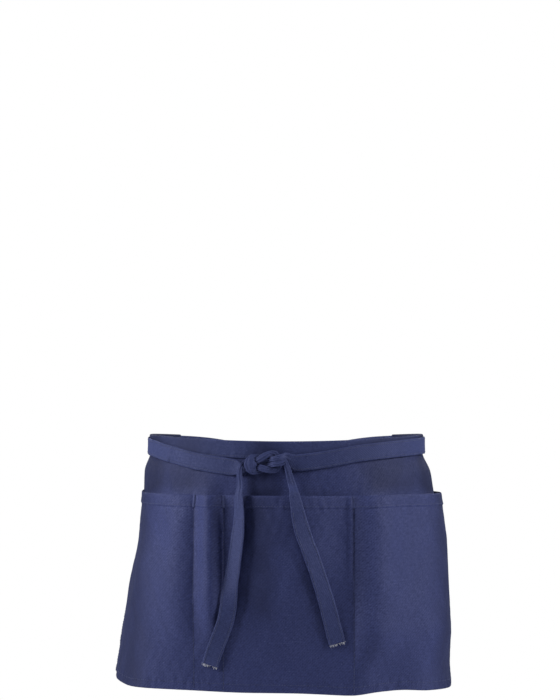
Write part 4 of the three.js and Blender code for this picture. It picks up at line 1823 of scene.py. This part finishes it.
        run = np.linspace(start, cross_to, 110)[:-1]
        share = np.maximum(0, (run - cross_from) / (cross_to - cross_from))
        swing = self.cross_swing * np.sin(2 * math.pi * share) + self.back_sag * np.sin(math.pi * share)
        over = smooth(swap - 0.06, swap + 0.06, share)
        over_tie = cut.band_front + cut.lie_gap + cut.cloth / 2
        offset = cut.cloth / 2 + (over_tie - cut.cloth / 2) * over
        middle = cut.cloth + cut.gap + cut.tie_width / 2
        axes = form.axes(side * run, np.zeros_like(run), offset, middle + swing)
        plain = np.full_like(run, cut.tie_width)
        parts.append((axes["point"], axes["out"], plain, np.full_like(run, cut.cloth), 0 * run))

        share = np.linspace(0, 1, 100)
        run = cross_to + (stop - cross_to) * share
        down = self.front.read("down", share)
        ahead = unit(form.place(side * (run + 1), down, 0.0) - form.place(side * (run - 1), down, 0.0))
        half = cut.tie_width / 2 / cut.length
        s = np.repeat((side * run)[:, None], len(TAPE_PLACES), axis=1)
        thick = np.full_like(run, cut.cloth)
        point, out = self.rest(s, down[:, None] + TAPE_PLACES * half, ahead, thick)
        parts.append((point, out, np.full_like(run, cut.tie_width), thick, 0 * run))

        knot = self.knot_stations(-side)
        share = GATHER_PLACES
        ease = smooth(0, 1, share)
        parts.append(
            (
                point[-1] + (knot[0][0] - point[-1]) * share[:, None],
                unit(out[-1] + (knot[1][0] - out[-1]) * share[:, None]),
                cut.tie_width + (knot[2][0] - cut.tie_width) * ease,
                cut.cloth + (knot[3][0] - cut.cloth) * ease,
                ease,
            )
        )
        parts.append((*knot, np.ones(len(knot[0]))))
        parts.append(self.tail_stations())
        joins = np.cumsum([len(part[0]) for part in parts])[[1, 3]]
        return self.ease([np.concatenate(values) for values in zip(*parts)], joins)

    def ease(
        self,
        values: list[Array],
        joins: Array,
        reaches: tuple[float, float] = (9.0, 11.0),
        step: float = 1.3,
        around: int = 12,
    ) -> dict[str, Array]:
        """Spaces the stations evenly, and eases the tape through the bends beside the knot.

        Args:
            values: point, out, wide, thick and gather at each station.
            joins: The stations at which the tape enters and leaves the knot.
            reaches: How far from each of those it is eased, in mm.
            step: The new spacing, in mm.
            around: How many stations on either side a bend is eased over.

        Returns:
            The same values by name.
        """
        run = run_along(values[0])
        even = np.linspace(0, run[-1], int(run[-1] / step))
        weight = np.zeros(len(even))
        for join, reach in zip(joins, reaches):
            weight = np.maximum(weight, bell(even, run[join], reach))
        kernel = bell(np.arange(-around, around + 1), 0, 0.35 * around)
        kernel /= kernel.sum()
        eased = {}
        for name, value in zip(("point", "out", "wide", "thick", "gather"), values):
            columns = []
            for column in value.reshape(len(run), -1).T:
                plain = np.interp(even, run, column)
                soft = np.convolve(np.pad(plain, around, "edge"), kernel, "valid")
                columns.append(plain + (soft - plain) * weight)
            eased[name] = np.stack(columns, -1) if value.ndim > 1 else columns[0]
        eased["out"] = unit(eased["out"])
        return eased

    def tail_stations(
        self, count: int = 96, beside: float = 0.02, level: float = 9.0
    ) -> tuple[Array, Array, Array, Array, Array]:
        """The stations of the free end, which lies on the apron below the knot.

        Args:
            count: How many there are.
            beside: How far to either side its way is looked at for its slope, as a share of it.
            level: How far along it the cloth below is levelled out for its own slope, in mm.

        Returns:
            point, out, wide, thick and gather at each.
        """
        cut, form = self.cloth.cut, self.cloth.form
        share = self.tail_start + (1 - self.tail_start) * (np.arange(1, count + 1) / count) ** 1.15
        wide = cut.tie_width * self.tail.read("wide", share)
        thick = cut.cloth * self.tail.read("thick", share)

        def at(where: Array) -> tuple[Array, Array]:
            """The middle of the tape along the cloth and down it."""
            across = self.knot_across + self.tail.read("across", where) * cut.width
            return across, (self.knot_down + where * self.tail_length) / cut.length

        before, after, here = at(share - beside), at(share + beside), at(share)
        ahead = unit(form.place(after[0], after[1], 0.0) - form.place(before[0], before[1], 0.0))
        lean = (after[0] - before[0]) / ((after[1] - before[1]) * cut.length)
        slope = np.hypot(1, lean)[:, None]
        s = here[0][:, None] + TAPE_PLACES * wide[:, None] / 2 / slope
        down = here[1][:, None] - TAPE_PLACES * (lean * wide)[:, None] / 2 / slope / cut.length
        _, out = self.rest(s, down, ahead, thick)
        run = share * self.tail_length
        near = bell(np.abs(run[:, None] - run[None]), 0, level)
        facing = unit(near @ out)
        tilt = np.radians(self.tail.read("tilt", share))
        out = facing * np.cos(tilt)[:, None] + np.cross(ahead, facing) * np.sin(tilt)[:, None]
        ground = form.place(here[0], here[1], 0.0)
        touch = form.place(s, down, self.outermost(s, down)) - ground[:, None]
        height = np.max(np.sum(touch * out[:, None], axis=2), axis=1) / np.cos(tilt)
        height = self.bridged(height, run) + cut.lie_gap + thick / 2
        height = height + self.strand * self.tail.read("lift", share)
        gather = 1 - smooth(*self.tail_gather, share)
        return ground + facing * height[:, None], out, wide, thick, gather

    @staticmethod
    def bridged(height: Array, run: Array, reach: float = 7.0, soft: float = 4.5) -> Array:
        """Lets the hanging tape bend softly over an edge, and clear it.

        Args:
            height: How far out the cloth under each station is, in mm.
            run: Its distance along the tape, in mm.
            reach: How far on either side of an edge the tape stays clear of it, in mm.
            soft: How softly it bends, in mm.

        Returns:
            The new heights.
        """
        away = np.abs(run[:, None] - run[None])
        highest = np.max(np.where(away < reach, height[None], -np.inf), axis=1)
        weight = bell(away, 0, soft)
        return np.sum(weight * highest[None], axis=1) / np.sum(weight, axis=1)

    def section(self, gather: Array, wide: Array, thick: Array, run: Array) -> tuple[Array, Array]:
        """The tape's section at each station: flat with sewn edges, or gathered into folds.

        Args:
            gather: How gathered it is, 0 to 1.
            wide: Its width, in mm.
            thick: Its thickness, in mm.
            run: How far along the tape it is, in mm.

        Returns:
            Places of the ring's points across the tape and out of its face, in mm.
        """
        top = np.linspace(-1, 1, FACE_POINTS)
        across = np.concatenate([top, [1.0], top[::-1], [-1.0]])
        level = np.concatenate([np.ones(FACE_POINTS), [0.0], -np.ones(FACE_POINTS), [0.0]])
        u = across[None] * np.ones((len(run), 1))
        plump = np.sqrt(np.clip(1 - u**2, 0, 1))
        swell = self.swell
        flat = np.minimum(1, swell.edge + swell.slope * (1 - np.abs(u)))
        edge = wide[:, None] / 2 * (1 - np.abs(u))
        flat = flat - swell.groove.height * bell(edge, self.row, swell.groove.reach)
        phase = swell.wander * np.sin(run / swell.wander_length)[:, None] + swell.wander_start
        folds = swell.folds[0] * np.cos(swell.folds[1] * u + phase)
        creases = swell.creases[0] * np.cos(swell.creases[1] * u - 2 * phase)
        creased = plump * (swell.plump + folds + creases)
        g = gather[:, None]
        height = (flat * (1 - g) + creased * g) * thick[:, None] / 2 * level
        return u * wide[:, None] / 2, height

    def build(self) -> list[bpy.types.Object]:
        """Builds the tape, its rows of stitches and its frayed end."""
        cut = self.cloth.cut
        place = self.stations()
        point, wide = place["point"], place["wide"]
        run = run_along(point)
        ahead = unit(np.gradient(point, axis=0))
        side = unit(np.cross(place["out"], ahead))
        face = np.cross(ahead, side)
        across, height = self.section(place["gather"], wide, place["thick"], run)
        flat = (1 - place["gather"])[:, None] * smooth(0, 30, run)[:, None]
        height = height + flat * self.curl.at(run[:, None], across) * np.abs(across / cut.tie_width * 2)
        rings = point[:, None] + side[:, None] * across[..., None] + face[:, None] * height[..., None]
        lay = np.broadcast_to(run[:, None], across.shape)
        u = across / wide[:, None] * cut.tie_width
        wear = self.edge_wear * np.exp(-np.abs(np.abs(u) - cut.tie_width / 2) / self.edge_reach)
        wear = wear + self.fold_wear * place["gather"][:, None] * (height > 0)
        shift = self.weave_shift * self.side.value
        cloth = np.stack([lay, u + shift, np.clip(wear, 0, 0.8)], -1)
        name = f"tie_from_{self.side.name.lower()}_tape"
        tape = swept(name, rings, cloth)
        dress(tape, Finish.TAPE)
        fray = self.fray(point[-1], ahead[-1], side[-1], face[-1])
        rows = self.stitch_rows(point, side, face, across, height, place["gather"])
        sewn = thread_object(f"tie_from_{self.side.name.lower()}_stitching", rows, Finish.NAVY_THREAD)
        for thing in (tape, sewn, fray):
            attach(thing, "root")
        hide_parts(f"tie_from_{self.side.name.lower()}")
        return [tape, sewn, fray]

    def stitch_rows(
        self, point: Array, side: Array, face: Array, across: Array, height: Array, gather: Array
    ) -> list[tuple[Array, Array]]:
        """Sews both edges of the tape wherever it lies flat.

        Args:
            point: The middle of the tape at each station.
            side: The way across it.
            face: The way out of it.
            across: Places of its section's points across it, in mm.
            height: Their heights out of it, in mm.
            gather: How gathered it is, 0 to 1.

        Returns:
            The rings and thread coordinates of each row.
        """
        rows = []
        flat = gather < 0.35
        turns = np.flatnonzero(np.diff(flat.astype(int))) + 1
        for stretch in np.split(np.arange(len(gather)), turns):
            if not flat[stretch[0]] or len(stretch) < 4:
                continue
            for edge in (-1, 1):
                at = edge * (np.max(across[stretch], axis=1) - self.row)
                lift = np.array(
                    [
                        np.interp(place, across[i, :FACE_POINTS], height[i, :FACE_POINTS])
                        for place, i in zip(at, stretch)
                    ]
                )
                path = point[stretch] + side[stretch] * at[:, None] + face[stretch] * lift[:, None]
                rows.append(ThreadRow().rings(path, face[stretch]))
        return rows

    def fray(self, tip: Array, ahead: Array, side: Array, face: Array) -> bpy.types.Object:
        """The loose warp threads at the raw end.

        Args:
            tip: The middle of the end.
            ahead: The way that the tape runs there.
            side: The way across it.
            face: The way out of it.

        Returns:
            The object.
        """
        random = np.random.default_rng(70 + self.side.value)
        rows = []
        fray = self.frayed
        even = np.linspace(-fray.reach, fray.reach, fray.threads)
        for place in even + random.uniform(-fray.uneven, fray.uneven, fray.threads):
            long = random.uniform(*fray.lengths)
            bend = random.normal(0, fray.bend, 2)
            t = np.linspace(0, 1, 5)[:, None]
            start = tip + side * place * self.cloth.cut.tie_width - ahead * fray.root
            path = start + ahead * long * t + (side * bend[0] + face * abs(bend[1]) * 0.5) * long * t**2
            row = ThreadRow(long, fray.radius)
            rows.append(row.rings(path, np.repeat(face[None], len(path), axis=0)))
        return thread_object(f"tie_from_{self.side.name.lower()}_fray", rows, Finish.RAW_THREAD)


# Studio and camera


@dataclass(frozen=True)
class SoftLight:
    """A square soft light that faces the apron.

    Attributes:
        name: The light's name.
        azimuth: Its direction from the front, positive to the right, in degrees.
        elevation: Its height above the apron, in degrees.
        away: Its distance, in metres.
        size: Its side, in metres.
        power: Its power, in watts.
        aim: The height that it faces, in metres.
    """

    name: str
    azimuth: float
    elevation: float
    away: float
    size: float
    power: float
    aim: float = -0.14

    def hang(self) -> None:
        """Hangs the light."""
        lamp = bpy.data.lights.new(self.name, "AREA")
        lamp.shape = "SQUARE"
        lamp.size = self.size
        lamp.energy = self.power
        thing = bpy.data.objects.new(self.name, lamp)
        a, e = math.radians(self.azimuth), math.radians(self.elevation)
        thing.location = (
            self.away * math.cos(e) * math.sin(a),
            -self.away * math.cos(e) * math.cos(a),
            self.away * math.sin(e) + self.aim,
        )
        thing.rotation_euler = (math.pi / 2 - e, 0, a)
        bpy.context.scene.collection.objects.link(thing)


@dataclass
class Studio:
    """A plain pale floor and soft light from both sides.

    Attributes:
        floor_level: The floor's height, in metres.
        floor_size: Its side, in metres.
        room_light: How bright the pale room is as a light, where 1 is as bright as it looks.
        lights: The soft lights.
    """

    floor_level: float = -1.0
    floor_size: float = 9.0
    room_light: float = 0.04
    lights: tuple[SoftLight, ...] = (
        SoftLight("soft_left", -74, 26, 2.4, 1.1, 53),
        SoftLight("soft_right", 74, 26, 2.4, 1.1, 45),
        SoftLight("soft_back_left", -150, 35, 2.8, 1.4, 16),
        SoftLight("soft_back_right", 150, 35, 2.8, 1.4, 16),
    )

    def build(self) -> None:
        """Lays the floor and hangs the lights."""
        half = self.floor_size / 2
        corners = np.array([(-half, -half), (half, -half), (half, half), (-half, half)])
        points = np.column_stack([corners, np.full(4, self.floor_level)]) / MM
        floor = make_object("studio_floor", points, [(0, 1, 2, 3)], np.zeros((4, 3)))
        floor.data.materials.append(StudioPaper().material())
        for light in self.lights:
            light.hang()
        world = bpy.data.worlds.new("pale_room")
        bpy.context.scene.world = world
        world.use_nodes = True
        tree = world.node_tree
        tree.nodes.clear()
        dim, pale = (
            add_node(tree, "ShaderNodeBackground", {"Color": (1, 1, 1, 1), "Strength": strength})
            for strength in (self.room_light, 1.0)
        )
        seen = add_node(tree, "ShaderNodeLightPath")
        mixed = add_node(
            tree,
            "ShaderNodeMixShader",
            {},
            {0: seen.outputs["Is Camera Ray"], 1: dim.outputs[0], 2: pale.outputs[0]},
        )
        add_node(tree, "ShaderNodeOutputWorld", {}, {"Surface": mixed.outputs[0]})
        bpy.context.scene.view_settings.view_transform = "Standard"


@dataclass
class FrontCamera:
    """The level camera that faces the apron from where the photograph was taken.

    Attributes:
        place: Where it stands, in metres.
        lens: Its focal length, in mm.
        film: The height of its film, in mm.
    """

    place: tuple[float, float, float] = (-0.0076, -4.617, 0.1155)
    lens: float = 133.8
    film: float = 24.0

    def build(self) -> None:
        """Makes the camera and sets the scene to it."""
        eye = bpy.data.cameras.new("front_camera")
        eye.sensor_fit = "VERTICAL"
        eye.sensor_height = self.film
        eye.lens = self.lens
        thing = bpy.data.objects.new("front_camera", eye)
        thing.location = self.place
        thing.rotation_euler = (math.pi / 2, 0, 0)
        bpy.context.scene.collection.objects.link(thing)
        bpy.context.scene.camera = thing


def main() -> None:
    """Builds the apron piece by piece over the frame, and keeps both sizes."""
    logging.basicConfig(level=logging.INFO, format="%(message)s")
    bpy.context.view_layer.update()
    FrontCamera().build()
    Studio().build()
    cut = Cut()
    cloth = PanelCloth(cut, WornForm(cut))
    parts = (
        Waistband(cloth),
        BodyPanel(cloth),
        PocketPanel(cloth),
        Tie(cloth, Side.LEFT, front=TIE_FROM_LEFT, tail=RIGHT_TAIL, tail_length=207.0),
        Tie(cloth, Side.RIGHT, front=TIE_FROM_RIGHT, tail=LEFT_TAIL, tail_length=236.0),
    )
    for part in parts:
        for piece in part.build():
            log.info("%s: %d faces", piece.name, len(piece.data.polygons))


if __name__ == "__main__":
    main()
